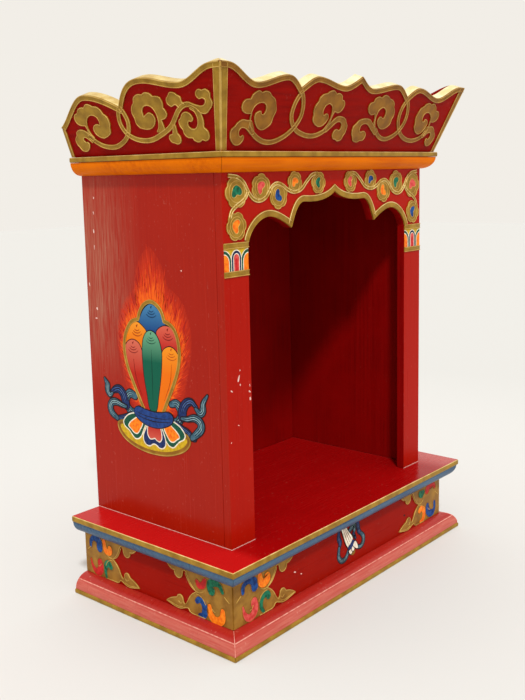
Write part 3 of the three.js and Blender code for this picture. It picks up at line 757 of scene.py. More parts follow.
def moulding(name, node, side, profile, half, depth, finishes, slot, second_below):
    """A strip of the profile along the front or a side, mitred at the front corners."""
    bm = bmesh.new()
    starts, ends = [], []
    for out, up in profile:
        front = REAR - depth - out
        if side:
            starts.append(Vector((side * (half + out), REAR, up)) * MM)
            ends.append(Vector((side * (half + out), front + MITRE_GAP, up)) * MM)
        else:
            starts.append(Vector((-(half + out - MITRE_GAP), front, up)) * MM)
            ends.append(Vector((half + out - MITRE_GAP, front, up)) * MM)
    corners, _ = extruded(bm, [bm.faces.new([bm.verts.new(place) for place in starts])])
    end_of = {tuple(round(value, 7) for value in start): end for start, end in zip(starts, ends)}
    for vert in corners:
        vert.co = end_of[tuple(round(value, 7) for value in vert.co)]
    for face in bm.faces:
        face.material_index = 1 if face.calc_center_median().z < second_below * MM else 0
    add_piece(name, finish_mesh(name, bm), finishes, [node], smooth=40, flat_from=1)


def make_mouldings():
    for place, side in (("front", 0), ("left", -1), ("right", 1)):
        for piece, node, *form in MOULDINGS:
            moulding(f"{piece}_{place}", f"{node}_{place}", side, *form)


def cut_away(bm, point, direction):
    """Takes off what lies beyond a plane and closes the cut."""
    parts = bm.verts[:] + bm.edges[:] + bm.faces[:]
    cut = bmesh.ops.bisect_plane(
        bm, geom=parts, dist=1e-7, plane_co=Vector(point) * MM, plane_no=direction, clear_outer=True,
    )["geom_cut"]
    edges = [part for part in cut if isinstance(part, bmesh.types.BMEdge)]
    bmesh.ops.edgeloop_fill(bm, edges=edges)


def mitre_cut(bm, side, half, depth, of_front):
    direction = Vector((side, 1, 0)).normalized() * (1 if of_front else -1)
    corner = Vector((side * half, REAR - depth, 0)) - direction * GAP / 2
    cut_away(bm, corner, direction)


def carved_board(name, node, face, outline, thickness, cuts, finishes, pick=None, eased=0.5):
    """A board of the outline behind a face, cut to its neighbours."""
    bm = bmesh.new()
    add_plate(bm, face, outline, -thickness, 0)
    for cut in cuts:
        cut(bm)
    bmesh.ops.recalc_face_normals(bm, faces=bm.faces[:])
    if pick:
        for part in bm.faces:
            part.material_index = pick(part, face)
    rims = [edge for edge in bm.edges if edge.is_manifold and edge.calc_face_angle() > 0.9]
    ease_edges(bm, rims, eased)
    add_piece(name, finish_mesh(name, bm), finishes, [node])


def mitred_boards(names, faces, outlines, half, depth, board, finishes, pick=None, also_cut=()):
    """The front, left and right boards of a box, mitred where they meet."""
    piece, node = names
    places = (("front", (-1, 1)), ("left", (-1,)), ("right", (1,)))
    for (place, ends), face, outline, finish in zip(places, faces, outlines, finishes):
        cut = partial(mitre_cut, half=half, depth=depth, of_front=place == "front")
        cuts = [partial(cut, side=side) for side in ends] + list(also_cut)
        carved_board(f"{piece}_{place}", f"{node}_{place}", face, outline, board, cuts, finish, pick)


# Arch

ARCH_CURVES = [
    [(OPENING_HALF, SPRINGING), (129.5, 376), (117, 387.7), (102.5, 387.7)],
    [(102.5, 387.7), (93, 387.7), (80, 381.5), (70, 375.5)],
    [(70, 375.5), (66, 384), (61, 399.5), (50, 399.5)],
    [(50, 399.5), (36, 398.3), (14, 398.5), (0, 408)],
]


def arch_edge(steps=14):
    """The opening's edge from the springing on the left, over the arch, to the springing on the right."""
    half = []
    for points in ARCH_CURVES:
        for k in range(steps):
            t = k / steps
            weights = ((1 - t) ** 3, 3 * t * (1 - t) ** 2, 3 * t * t * (1 - t), t ** 3)
            half.append(tuple(
                sum(weight * point[axis] for weight, point in zip(weights, points)) for axis in (0, 1)
            ))
    half.append(ARCH_CURVES[-1][-1])
    return flip(half) + half[::-1][1:]


ARCH_BAND = 6
CAPITAL_BANDS = (336.5, 361.7)
CAPITAL_BAND = 5.2


def arch_finish(part, face):
    """Lacquer on the front, the niche's red on the reveal and the rear, the panels' paint on the sides."""
    if part.normal.dot(face.out) > 0.5:
        return 0
    inward = abs(part.calc_center_median().x) < (OPENING_HALF + BODY_HALF) / 2 * MM
    return 1 if inward else 2


def make_arch_board():
    outline = [(-BODY_HALF, BODY_FOOT), (-OPENING_HALF, BODY_FOOT)] + arch_edge()
    outline += [(OPENING_HALF, BODY_FOOT)] + oblong(-BODY_HALF, BODY_HALF, BODY_FOOT, BODY_HEAD)[1:]
    finishes = [FRAME_RED, NICHE_RED, PANEL_RED]
    carved_board(
        "arch_board", "arch_front", ARCH, outline, BOARD, [], finishes, arch_finish, eased=0.3,
    )


# Crown

# How far the outlines run along the front and the side before the mitres cut them
FRONT_CREST_END = 215
SIDE_CREST_END = 240
FRONT_CREST = [
    (0, 74.3, 0.6, -0.6), (23.5, 64, 0, 0), (66, 70.2, 0, 0), (89, 58.6, -0.75, 0.8),
    (110, 69.2, 0, 0), (150, 60.4, 0, 0), (191, 74.6, 0, 0), (FRONT_CREST_END, 74.6, 0, 0),
]
SIDE_CREST = [
    (0, 31, 0.55, 0.55), (45, 59.6, 0, 0), (90.5, 45.5, -0.5, 1.7), (127, 69, 0, 0),
    (173, 61.6, 0, 0), (215, 74.6, 0, 0), (SIDE_CREST_END, 74.6, 0, 0),
]
CREST_BAND = 5
CREST_FOOT = -8
LEAN_SINE = CROWN_LEAN / math.hypot(1, CROWN_LEAN)


def under_roof(bm):
    cut_away(bm, (0, 0, ROOF_TOP + GAP), Vector((0, 0, -1)))


def crest_finish(part, face):
    """Red on the front and the back of a crest board, and on its edges gold with a painted highlight."""
    return 0 if abs(part.normal.dot(face.out)) > 0.7 else 1


def front_crest_line():
    right = through_keys(FRONT_CREST)
    return flip(right)[::-1] + right[1:]


def make_crest_boards():
    front = [(-FRONT_CREST_END, CREST_FOOT), (FRONT_CREST_END, CREST_FOOT)] + front_crest_line()[::-1]
    side = [(0, CREST_FOOT), (SIDE_CREST_END, CREST_FOOT)] + through_keys(SIDE_CREST)[::-1]
    finishes = [[CREST_RED, BRIGHT_HIGHLIGHT_GOLD], [CREST_RED, HIGHLIGHT_GOLD], [CREST_RED, HIGHLIGHT_GOLD]]
    mitred_boards(
        ("crest", "crown"), (CREST_FRONT, CREST_LEFT, CREST_RIGHT), (front, side, flip(side)), CROWN_HALF,
        CROWN_DEPTH, CROWN_BOARD, finishes, crest_finish, (under_roof,),
    )


# Plinth

def make_plinth_boards():
    head = LEDGE_UNDERSIDE - GAP
    front, side = oblong(-PLINTH_HALF, PLINTH_HALF, 0, head), oblong(0, PLINTH_DEPTH, 0, head)
    mitred_boards(
        ("plinth_board", "plinth"), (PLINTH_FRONT, PLINTH_LEFT, PLINTH_RIGHT), (front, side, flip(side)),
        PLINTH_HALF, PLINTH_DEPTH, BOARD, [[PLINTH_RED]] * 3,
    )


# Gilt scrolls of the crest

# The outer scroll of the front's left half, its leaf, the inner scroll and its leaf. A doubled point is
# a corner.
OUTER_HEAD = [
    (-148, 20), (-149, 28), (-149, 33), (-149, 33), (-156, 33), (-162, 36), (-163, 41), (-160, 45),
    (-154, 46), (-154, 46), (-152, 50), (-146, 53.5), (-141, 52), (-141, 52), (-137, 53.5), (-131, 52.5),
    (-128, 50), (-128, 50), (-122, 47), (-119, 42), (-119, 42), (-117, 37), (-119, 31), (-119, 31),
    (-120, 25), (-125, 21), (-131, 19), (-137, 21), (-142, 26), (-144, 31), (-143, 34), (-139, 36),
    (-137, 36), (-137, 36), (-135.5, 33.5), (-132.5, 33.5), (-131, 37), (-132.5, 41), (-137, 43),
    (-143, 42), (-147.5, 38), (-148.8, 31), (-147, 24), (-142, 17),
]
OUTER_LEAF = [
    (-146, 27), (-152, 27.5), (-158, 28), (-163, 25.5), (-166, 22), (-166, 22), (-170, 18), (-169, 12),
    (-167, 9), (-167, 9), (-162, 5.5), (-156, 5.5), (-152, 9), (-151.5, 12.5), (-153.5, 14.5), (-156, 13),
    (-158, 14), (-159.5, 17.5), (-157, 20.5), (-151, 19.5), (-143, 14.5), (-139, 16),
]
OUTER_STEM = [
    (-146.5, 20), (-141, 16), (-134, 12), (-124, 8.8), (-113, 8.6), (-102, 11.8), (-92.5, 17),
    (-84.5, 24.5), (-80.2, 33), (-80.6, 42), (-84, 50.5), (-89.5, 57),
]
INNER_HEAD = [
    (-39, 21), (-34, 28), (-33, 34), (-31, 39), (-31, 39), (-25, 38), (-20, 41), (-18, 46), (-20, 50),
    (-24, 51), (-24, 51), (-26, 55), (-31, 57), (-35, 56), (-35, 56), (-40, 59), (-46, 58), (-49, 56),
    (-49, 56), (-55, 54.5), (-59, 51), (-59.5, 48), (-59.5, 48), (-63, 43), (-63.5, 38), (-62, 35),
    (-62, 35), (-61.5, 30), (-57, 26), (-57, 26), (-51, 24), (-45, 25), (-40, 29), (-38.5, 33),
    (-40.5, 36.5), (-43, 37), (-46, 35.5), (-48, 36), (-48, 36), (-49, 39.5), (-47, 44), (-42, 46),
    (-37, 43.5), (-34.8, 38), (-35.2, 32), (-38, 26), (-43, 20),
]
INNER_LEAF = [
    (-37, 25), (-31, 30), (-25, 34.5), (-17, 35), (-10.5, 33), (-8, 30), (-8, 30), (-4.5, 26), (-5, 19),
    (-7, 16), (-7, 16), (-9, 12), (-15, 10.5), (-18, 12), (-18, 12), (-23, 13), (-25, 17.5), (-23, 21.5),
    (-19.5, 22.5), (-17, 21.5), (-14.5, 23), (-15, 27.5), (-19, 29.5), (-24, 28.5), (-31, 23), (-38, 18.5),
]
INNER_STEM = [
    (-37.5, 22), (-43, 18.5), (-52, 15.6), (-62, 15), (-72, 16.6), (-81, 19.5), (-89, 25), (-93.8, 33),
    (-93.6, 42), (-90.5, 50), (-86, 56),
]
RIGHT_OUTER_STEM = [
    (145.5, 23), (140, 18), (130, 14), (119, 12.8), (107, 14.6), (97, 18.8), (89, 25.5), (84, 34),
    (83.6, 43), (86.5, 51), (91.5, 57.5),
]
RIGHT_INNER_STEM = [
    (46, 24), (52, 18.5), (61, 14.6), (71, 14), (81, 17), (90, 22.5), (96.4, 31), (97.6, 40.5), (94.5, 50),
    (89, 57.5),
]
# How the left half's scrolls are turned into the right half's: stretch and shift, along and up
RIGHT_OUTER = ((1, 1), (-0.6, 1))
RIGHT_OUTER_LEAF = ((0.93, 0.98), (9, 2))
RIGHT_INNER = ((1.08, 1), (3.6, 0))
RIGHT_INNER_LEAF = ((1.24, 1), (0.4, -0.8))

# The side crest: the rear scroll and leaf, the middle scroll, and the sprays in front of it
REAR_HEAD = [
    (36, 21), (37.5, 26), (36, 30.5), (36, 30.5), (31, 31), (26, 33), (23.8, 37.5), (25.5, 42), (30, 43.5),
    (30, 43.5), (33, 47), (38, 48.5), (42, 48), (42, 48), (46, 51), (51, 50.5), (55, 48.5), (55, 48.5),
    (61, 47.5), (65, 44), (66.5, 41), (66.5, 41), (71, 37), (72, 31), (70.5, 27), (70.5, 27), (69, 22),
    (64, 19), (64, 19), (58, 17.5), (52, 19), (47.5, 22.5), (46.5, 27), (49, 30.5), (53.5, 31.5),
    (57.5, 30.5), (57.5, 30.5), (57.6, 35), (54.5, 38.8), (49.5, 40), (44, 38.5), (40.5, 34.5), (39.2, 29),
    (41, 22.5), (44.5, 18), (40, 15),
]
REAR_LEAF = [
    (40, 21), (36, 24.5), (31, 27), (25, 27.5), (20.5, 25.5), (19.5, 22.5), (19.5, 22.5), (15.5, 18.5),
    (15.5, 13.5), (18, 10), (18, 10), (21, 6.5), (27, 5.6), (31.5, 8), (34, 12), (32.5, 15), (29.5, 15),
    (29.5, 15), (27.5, 17.5), (30, 19.6), (34.5, 17.5), (40, 13.5),
]
REAR_STEM = [
    (38, 20), (44, 15), (52, 10.8), (61, 8.8), (71, 8.8), (80, 11.6), (88, 16), (94, 22.5), (96.8, 31),
    (95, 39), (91.5, 45),
]
MIDDLE_HEAD = [
    (141, 21), (141.5, 26), (141, 30.5), (141, 30.5), (146, 31.5), (149.5, 35), (148.5, 39), (147, 41),
    (147, 41), (148, 46), (146, 50.5), (141, 52), (138, 52), (138, 52), (134.5, 55), (129, 56), (125, 54.5),
    (125, 54.5), (119, 55), (113.5, 52.5), (111.5, 48), (111.5, 48), (107.5, 44.5), (105.8, 39),
    (107, 34.5), (107, 34.5), (107.5, 28.5), (111, 24.6), (111, 24.6), (118, 23), (125, 23.4),
    (130.5, 26.6), (133.4, 31.5), (131.8, 36), (127.5, 38.2), (123.5, 36.8), (119.6, 35), (119.6, 35),
    (119.8, 39.5), (122.5, 43), (127.5, 44.2), (132.5, 42.4), (135.8, 37.5), (136.4, 31), (134.8, 25),
    (131, 20),
]
MIDDLE_STEM = [
    (184, 39), (178, 42), (171, 41.2), (164, 37.2), (157.5, 31), (151, 25), (144, 21), (134, 17),
    (124, 13.8), (114, 12.8), (104, 14), (96, 17), (89.5, 22), (86, 30), (87, 38), (90.5, 45),
]
UPPER_BUD = [
    (166.5, 39.5), (163, 42.5), (160.5, 42), (157.5, 41), (157.5, 41), (153.5, 44), (153.6, 48.5),
    (156.5, 51), (156.5, 51), (160, 54), (165.5, 53), (167, 51.5), (167, 51.5), (171, 49), (171.5, 44.5),
    (174.5, 42.5),
]
HOOKED_LEAF = [
    (180, 43.4), (186, 41.4), (192, 40), (196.5, 41), (198.4, 44.4), (196, 46), (192.5, 45.5),
    (189.8, 47.5), (189.6, 51), (193.5, 54), (197.5, 53), (197.5, 53), (202, 53.5), (205.8, 50), (205, 46),
    (205, 46), (206, 41.5), (204, 38), (204, 38), (200.5, 35.5), (196.5, 33), (191, 33.2), (186.5, 36),
]
HANGING_HEAD = [
    (178.5, 41.8), (184.5, 39.5), (189.5, 34.5), (190.6, 28), (189, 21.5), (189, 21.5), (192.5, 17.5),
    (192, 12), (187.5, 9.4), (183.5, 10.5), (183.5, 10.5), (178.5, 8.6), (173.5, 10.5), (172.5, 12.5),
    (172.5, 12.5), (166.5, 13.5), (163.5, 17), (163.5, 20), (163.5, 20), (161, 24.5), (161.5, 29),
    (164.5, 31), (164.5, 31), (167.5, 34.6), (172.5, 36), (177, 34), (179, 29.5), (176.5, 27), (173, 27.4),
    (171.6, 24), (174, 21.2), (178.4, 21), (182.2, 24), (184, 29.5), (182.6, 35), (178, 38.4),
]
LOWER_BUD = [
    (153, 26), (151.5, 22), (149.5, 17.5), (149.5, 17.5), (145.5, 16.8), (143.8, 13.4), (146, 9.8),
    (149, 9), (149, 9), (153, 7.8), (157.4, 10), (158, 14.5), (155.8, 18), (155.8, 18), (156, 22),
    (155.5, 26.5),
]
STEM_WIDTH = 4.6
# A stem lies this much lower than the one that it crosses.
STEM_STEP = 0.08
PIPE_INSET = 0.45
# Where the piped lines of the crest's border run, as shares of its width
BORDER_LINES = (0.09, 0.93)
# The bands beside the crest's mitred corners: where they start and end, and their widths there
CORNER_BAND_ENDS = (0.6, 73.6)
CORNER_BAND_WIDTHS = (5, 7.6)
CORNER_RELIEF = 0.8
CORNER_BEAD = 1.1
# The front crest's gilt, darkened as painted shade
SHADOWED_GILT = {"fill": DARK_GOLD, "pipe": SHADED_PIPED_GOLD}


def gilt_shape(work, face, points, side=1, fill=GOLD, pipe=PALE_GOLD, steps=4):
    """A raised gilt shape with a piped rim, left open at its neck, where it grows out of its stem."""
    outline = flowing(flip(points, side), steps)
    work.plate(fill, face, outline, RELIEF)
    work.pipe(pipe, face, inset(outline, PIPE_INSET)[:1 - steps], RELIEF + BEAD_RISE)


def gilt_stem(work, face, points, width=STEM_WIDTH, side=1, high=VINE_RELIEF, fill=GOLD, pipe=PALE_GOLD):
    """A gilt ribbon with a piped line along each edge."""
    line = flowing(flip(points, side), 5, closed=False)
    work.plate(fill, face, strip(line, width), high)
    for hand in (-1, 1):
        work.pipe(pipe, face, offset(line, hand * (width / 2 - PIPE_INSET), False), high + BEAD_RISE)


def clear_offset(line, away):
    """An open line moved sideways, without the points that would lie too near to it at a corner."""
    moved = offset(line, away, False)
    return [point for point in moved if min(math.dist(point, other) for other in line) > 0.97 * abs(away)]


def crest_band(work, face, line, reach, side=1, fill=GOLD, pipe=PALE_GOLD):
    """The gilt border under a crest's edge as far as its mitre, with a piped line along each side of it."""
    line = flip([(x, y) for x, y in line if abs(x) < reach + LEAN_SINE * y - EDGE_ROOM], side)
    lower = clear_offset(line, -side * CREST_BAND)
    work.plate(fill, face, line + lower[::-1], BAND_RELIEF)
    for share in BORDER_LINES:
        work.pipe(pipe, face, clear_offset(line, -side * CREST_BAND * share), BAND_RELIEF + BEAD_RISE)


def corner_band(work, face, edge_foot, side, fill=GOLD):
    """The band beside a mitred corner, wider at its head."""
    edge = [(side * (edge_foot + LEAN_SINE * y - 0.1), y) for y in CORNER_BAND_ENDS]
    ends = zip(CORNER_BAND_ENDS, CORNER_BAND_WIDTHS)
    inner = [(side * (edge_foot + LEAN_SINE * y - width), y) for y, width in ends]
    work.plate(fill, face, edge + inner[::-1], CORNER_RELIEF)
    work.pipe(PALE_GOLD, face, inner, CORNER_RELIEF, 0.4)
    if face is CREST_FRONT:
        work.pipe(PALE_GOLD, face, [(x + side * 0.3, y) for x, y in edge], 0, CORNER_BEAD)


def make_front_scrolls():
    work = Ornament("crest_front_gilt")
    face = CREST_FRONT
    # The front's gilt is darkened as painted shade, all but its left corner band.
    crest_band(work, face, front_crest_line(), CROWN_HALF, **SHADOWED_GILT)
    corner_band(work, face, CROWN_HALF, -1)
    corner_band(work, face, CROWN_HALF, 1, DARK_GOLD)
    for points in (OUTER_HEAD, OUTER_LEAF, INNER_HEAD, INNER_LEAF):
        gilt_shape(work, face, points, **SHADOWED_GILT)
    gilt_stem(work, face, OUTER_STEM, **SHADOWED_GILT)
    gilt_stem(work, face, INNER_STEM, high=VINE_RELIEF - STEM_STEP, **SHADOWED_GILT)
    for points, (stretch, shift) in (
        (OUTER_HEAD, RIGHT_OUTER), (OUTER_LEAF, RIGHT_OUTER_LEAF),
        (INNER_HEAD, RIGHT_INNER), (INNER_LEAF, RIGHT_INNER_LEAF),
    ):
        gilt_shape(work, face, flip(points, -1, shift, stretch), **SHADOWED_GILT)
    gilt_stem(work, face, RIGHT_OUTER_STEM, **SHADOWED_GILT)
    gilt_stem(work, face, RIGHT_INNER_STEM, high=VINE_RELIEF - STEM_STEP, **SHADOWED_GILT)
    work.make()


# The gilt rear edge of a side crest: where it starts and ends along the crest, and its heights there
REAR_EDGE = (EDGE_ROOM, 4.8)
REAR_EDGE_FOOT = 0.6
REAR_EDGE_HEADS = (29, 31)
REAR_EDGE_LINE = 4.4


def make_side_scrolls(name, face, side):
    work = Ornament(name)
    crest_band(work, face, through_keys(SIDE_CREST), CROWN_DEPTH, side)
    corner_band(work, face, CROWN_DEPTH, side)
    (start, end), (low, high) = REAR_EDGE, REAR_EDGE_HEADS
    rear = [(start, REAR_EDGE_FOOT), (end, REAR_EDGE_FOOT), (end, high), (start, low)]
    work.plate(GOLD, face, flip(rear, side), CORNER_RELIEF)
    rear_line = [(side * REAR_EDGE_LINE, REAR_EDGE_FOOT), (side * REAR_EDGE_LINE, high)]
    work.pipe(PALE_GOLD, face, rear_line, BAND_RELIEF + BEAD_RISE)
    for points in (REAR_HEAD, REAR_LEAF, MIDDLE_HEAD, UPPER_BUD, HOOKED_LEAF, HANGING_HEAD, LOWER_BUD):
        gilt_shape(work, face, points, side)
    gilt_stem(work, face, REAR_STEM, side=side)
    gilt_stem(work, face, MIDDLE_STEM, side=side, high=VINE_RELIEF - STEM_STEP)
    work.make()


# Gilt border, vine and rosettes of the arch

# Rosettes: distance from the middle, height, radius, and the turn of the jewel
ROSETTES = [
    (27, 417, 11.2, 0.6), (64, 418, 10.8, -0.3), (88.5, 406.4, 12.8, 1.2), (113.5, 414.3, 13, 0.1),
    (147, 411, 14.6, -0.6), (148, 381, 13, 0.4),
]
LEFT_JEWELS = ("green", "orange", "blue", "pink", "green", "orange")
RIGHT_JEWELS = ("pink", "blue", "orange", "green", "pink", "blue")
VINE = [
    (31, 426), (37, 424.6), (45, 419), (54, 411.5), (65, 409), (75, 411.6), (83, 416), (91, 417.6),
    (98, 414.5), (106, 406), (115, 402.6), (124, 404.4), (130.5, 410.5), (137, 419.5), (145, 424.2),
    (157, 425.8),
]
STILE_VINE = [(131, 412), (134.5, 406.5), (141, 402), (148, 398.6), (153.5, 394.5), (156, 389)]
VINE_WIDTH = 3.6
# The border's outer piped line is pale, a painted highlight
ARCH_BORDER_LINES = ((0.08, GOLD), (0.92, HIGHLIGHT_GOLD))
# A comma: a round head, and a tail that curls down to the left, as large as it is on a rosette of the
# radius that follows
JEWEL = [
    (-5.4, 1.4), (-3.6, 4.6), (0.4, 5.8), (4.4, 5), (6, 2.4), (4.6, 0), (1.8, -1.4), (0.8, -4.4),
    (-1.6, -6), (-3.8, -5.2), (-5, -2.2),
]
JEWEL_ROSETTE = 13
JEWEL_COAT = 3
ROSETTE_LOBES = 6
LOBE_DEPTH = 0.12
CURL_TURNS = 1.1
CURL_POINTS = 30
CAPITAL_FOOT = 341.7
CAPITAL_HEAD = 361.7
ARCH_STRETCH = 1.15
# The nested arches of a capital, outermost first: half width, crown and finish
HALF_ARCHES = [
    (10.4, 361, WHITE), (9.6, 360.2, DARK_GREEN), (7.2, 357.6, WHITE), (6.4, 356.8, JEWELS["orange"]),
]
MIDDLE_ARCHES = [
    (7, 360.8, WHITE), (6.3, 359.9, GREY_TEAL), (5.9, 359.7, NAVY), (4.2, 357.6, WHITE),
    (3.4, 356.8, JEWELS["pink"]), (1.5, 353, JEWELS["red"]),
]


def place_round(points, x, y, turn, scale):
    cosine, sine = math.cos(turn) * scale, math.sin(turn) * scale
    return [(x + a * cosine - b * sine, y + a * sine + b * cosine) for a, b in points]


def rosette(work, x, y, radius, turn, jewel):
    rim = lobed(x, y, radius, ROSETTE_LOBES, LOBE_DEPTH, turn)
    work.plate(GOLD, ARCH, rim, RELIEF)
    work.pipe(PALE_GOLD, ARCH, inset(rim, PIPE_INSET), RELIEF + BEAD_RISE, closed=True)
    curl = []
    for i in range(CURL_POINTS):
        share = i / (CURL_POINTS - 1)
        angle = turn + 0.6 + share * 2 * math.pi * CURL_TURNS
        reach = radius * (0.8 - 0.2 * share)
        curl.append((x + reach * math.cos(angle), y + reach * math.sin(angle)))
    work.pipe(PALE_GOLD, ARCH, curl, RELIEF, FINE_BEAD)
    stone_turn = turn if x > 0 else math.pi - turn
    stone = flowing(place_round(JEWEL, x, y, stone_turn, radius / JEWEL_ROSETTE))
    work.pipe(PALE_GOLD, ARCH, stone, RELIEF + 0.1, FINE_BEAD, closed=True)
    work.paint(jewel, ARCH, stone, JEWEL_COAT, RELIEF)


def stile_width(side, inwards):
    """The left and the right edge of a stile, drawn in a little."""
    return sorted((side * (OPENING_HALF + inwards), side * (BODY_HALF - inwards)))


def capital_arch(work, edges, x, half, crown, finish, coat, steps=16):
    """A painted arch on a stile, cut off at the stile's edges."""
    points = [(x - half, CAPITAL_FOOT)]
    for i in range(steps + 1):
        angle = math.pi * (1 - i / steps)
        points.append((x + half * math.cos(angle), crown - half * ARCH_STRETCH * (1 - math.sin(angle))))
    points.append((x + half, CAPITAL_FOOT))
    left, right = edges
    kept = []
    for point in ((min(max(a, left), right), b) for a, b in points):
        if not kept or math.dist(point, kept[-1]) > 1e-4:
            kept.append(point)
    work.paint(finish, ARCH, kept, coat)


def capital(work, side):
    """The painted band on a stile: a pink arch between two orange half arches, over green and navy rings."""
    left, right = edges = stile_width(side, EDGE_ROOM)
    work.paint(YELLOW, ARCH, oblong(left, right, CAPITAL_FOOT, CAPITAL_HEAD), 1)
    for x in edges:
        for coat, arch in enumerate(HALF_ARCHES, 2):
            capital_arch(work, edges, x, *arch, coat)
    for coat, arch in enumerate(MIDDLE_ARCHES, 6):
        capital_arch(work, edges, side * (OPENING_HALF + BODY_HALF) / 2, *arch, coat)


def make_arch_gilt():
    work = Ornament("arch_gilt")
    edge = arch_edge()
    work.plate(GOLD, ARCH, edge + offset(edge, ARCH_BAND, False)[::-1], BAND_RELIEF)
    for share, finish in ARCH_BORDER_LINES:
        work.pipe(finish, ARCH, offset(edge, ARCH_BAND * share, False), BAND_RELIEF)
    for side, jewels in ((-1, LEFT_JEWELS), (1, RIGHT_JEWELS)):
        # The vine's piped edges are pale, a painted highlight
        gilt_stem(work, ARCH, VINE, VINE_WIDTH, side, pipe=HIGHLIGHT_GOLD)
        gilt_stem(work, ARCH, STILE_VINE, VINE_WIDTH, side, VINE_RELIEF - STEM_STEP, pipe=HIGHLIGHT_GOLD)
        for (x, y, radius, turn), jewel in zip(ROSETTES, jewels):
            rosette(work, side * x, y, radius, turn if side > 0 else math.pi - turn, JEWELS[jewel])
        left, right = stile_width(side, 0.1)
        for foot in CAPITAL_BANDS:
            head = foot + CAPITAL_BAND
            work.plate(GOLD, ARCH, oblong(left, right, foot, head), RELIEF, eased=0.3)
            for level in (foot + 0.4, head - 0.4):
                work.pipe(PALE_GOLD, ARCH, [(left, level), (right, level)], RELIEF)
        capital(work, side)
    work.make()


# Gilt corners of the plinth

# A corner's cloud, by distance from the corner and height: two lobes that meet in a cusp, and two sprays
PLINTH_CLOUD = [
    (0, 63.1), (0, 63.1), (87, 63.1), (87, 63.1), (84.5, 59.4), (80, 56.6), (76.5, 56.2), (76.5, 56.2),
    (75.4, 52.6), (72, 50.2), (68, 50.6), (65.2, 53.6), (64, 58.4), (61.6, 59.6), (59.4, 57.6), (57, 52.6),
    (52.6, 46.8), (47.4, 42.6), (47.4, 42.6), (52, 39.6), (56.6, 34.6), (59.4, 29.6), (62.6, 26),
    (64.6, 28), (65.4, 31.4), (68.4, 33.8), (72, 33), (74.4, 29.8), (74.4, 29.8), (79.6, 28.2), (85, 25.6),
    (89.4, 22.2), (89.4, 22.2), (83, 20.8), (75, 19.2), (68.6, 19.4), (62.6, 21.6), (58.4, 22.6),
    (56.4, 20.2), (53, 18.9), (53, 18.9), (0, 18.9), (0, 18.9),
]
# Where the piped lines of a cloud run inside it: round the lobes, into the sprays, and near the jewels
PLINTH_LINES = [
    [(61, 57.8), (58.2, 52.2), (53.6, 46.4), (48, 43.4), (42.4, 43), (37, 45.4)],
    [(46.4, 40.6), (42, 40.2), (37.4, 37.6), (34.4, 33)],
    [(84, 59.6), (78.6, 57.8), (74.8, 57)],
    [(86, 22.8), (79, 21.6), (72, 21), (66, 22.4)],
    [(71.6, 26.6), (68.4, 24.8), (66.2, 27)],
    [(3.4, 43.6), (9.6, 48)],
    [(21.6, 29.4), (24.4, 30.2), (26.4, 33)],
]
# How far the rim of a cloud is left without a piped line, along the face from the corner
UNPIPED = 30
# How much the clouds of the sides are drawn in, along the face
SIDE_REAR_STRETCH = 0.92
SIDE_FRONT_STRETCH = 0.97
# The jewels of each end: finish, middle line by distance from the corner and height, and widths along it
FRONT_LEFT_JEWELS = [
    ("blue", [(12.6, 50), (12.8, 55.4), (17, 58.4), (23.4, 58.2), (28, 55), (29, 50.2)],
     (5, 6, 6, 9.5, 10.5)),
    ("orange", [(36.4, 58), (37.4, 52.4), (41.4, 49), (46.4, 50.6), (47, 53.6)], (7, 9, 9.5, 10)),
    ("pink", [(12, 36.4), (14.4, 28), (19.6, 23), (26, 24), (28.8, 29), (27.6, 36)], (2.5, 6, 9, 10, 9.5)),
    ("green", [(48.4, 33.6), (46.6, 36.4), (41.6, 36.2), (37.8, 31.6), (38, 25.4), (41.2, 20.6)],
     (7.5, 7.5, 6, 5.5, 4)),
]
FRONT_RIGHT_JEWELS = [
    ("red", [(28.4, 54.6), (26, 58), (20, 57.6), (14.4, 58.6), (11.4, 55)], (10, 7.5, 5.5, 6)),
    ("green", [(44, 54.4), (40.4, 53.4), (37, 54.6)], (9, 10.5, 7.5)),
    ("blue", [(27.6, 36), (26.8, 29.6), (21.6, 24.6), (15, 24.6), (11.4, 29.6), (11.6, 35.6)],
     (7, 10, 10, 9, 6, 5.5)),
    ("orange", [(45, 34.4), (41.4, 36.2), (36.6, 33.6), (35.4, 27.6), (38, 22), (43.4, 20.4)],
     (7.5, 8, 7.5, 7, 4.5)),
]
SIDE_FRONT_JEWELS = [
    ("green", [(26.4, 49.4), (27.4, 55.4), (22.4, 58.2), (15.6, 57.4), (12, 52)], (10.5, 10, 7.5, 6, 5)),
    ("red", [(45.4, 53.4), (42.6, 50.4), (37.6, 51.8), (34.6, 57)], (5, 7.5, 7.5, 5.5)),
    ("blue", [(46, 33.6), (43, 36), (38, 34.4), (35.4, 28.6), (37.4, 22), (42.4, 20.4)], (6, 7, 8, 8, 5.5)),
    ("orange", [(29, 33.6), (28.2, 26.6), (23.6, 22), (17.4, 21.8), (12.8, 26), (12, 33.4)],
     (5.5, 9, 9.5, 9, 6)),
]
SIDE_REAR_JEWELS = [
    ("blue", [(9, 48.6), (10, 54.6), (14.6, 58.2), (21, 58), (25, 54), (24.6, 49.4)],
     (4.5, 5.5, 7.5, 10, 10)),
    ("orange", [(32.6, 58.6), (33.4, 52.4), (37, 48.6), (41.6, 50), (42.2, 52.6)], (5.5, 7.5, 9.5, 7.5)),
    ("red", [(8.6, 34.4), (11.4, 27.4), (16.4, 22.8), (22.4, 23.4), (25.4, 28.6), (24.4, 34)],
     (2.5, 5.5, 9, 10, 9)),
    ("green", [(34.6, 20.4), (33.4, 27), (35, 33.4), (39, 35.8), (42.4, 33.4)], (4, 5.5, 7.5, 9, 7.5)),
]


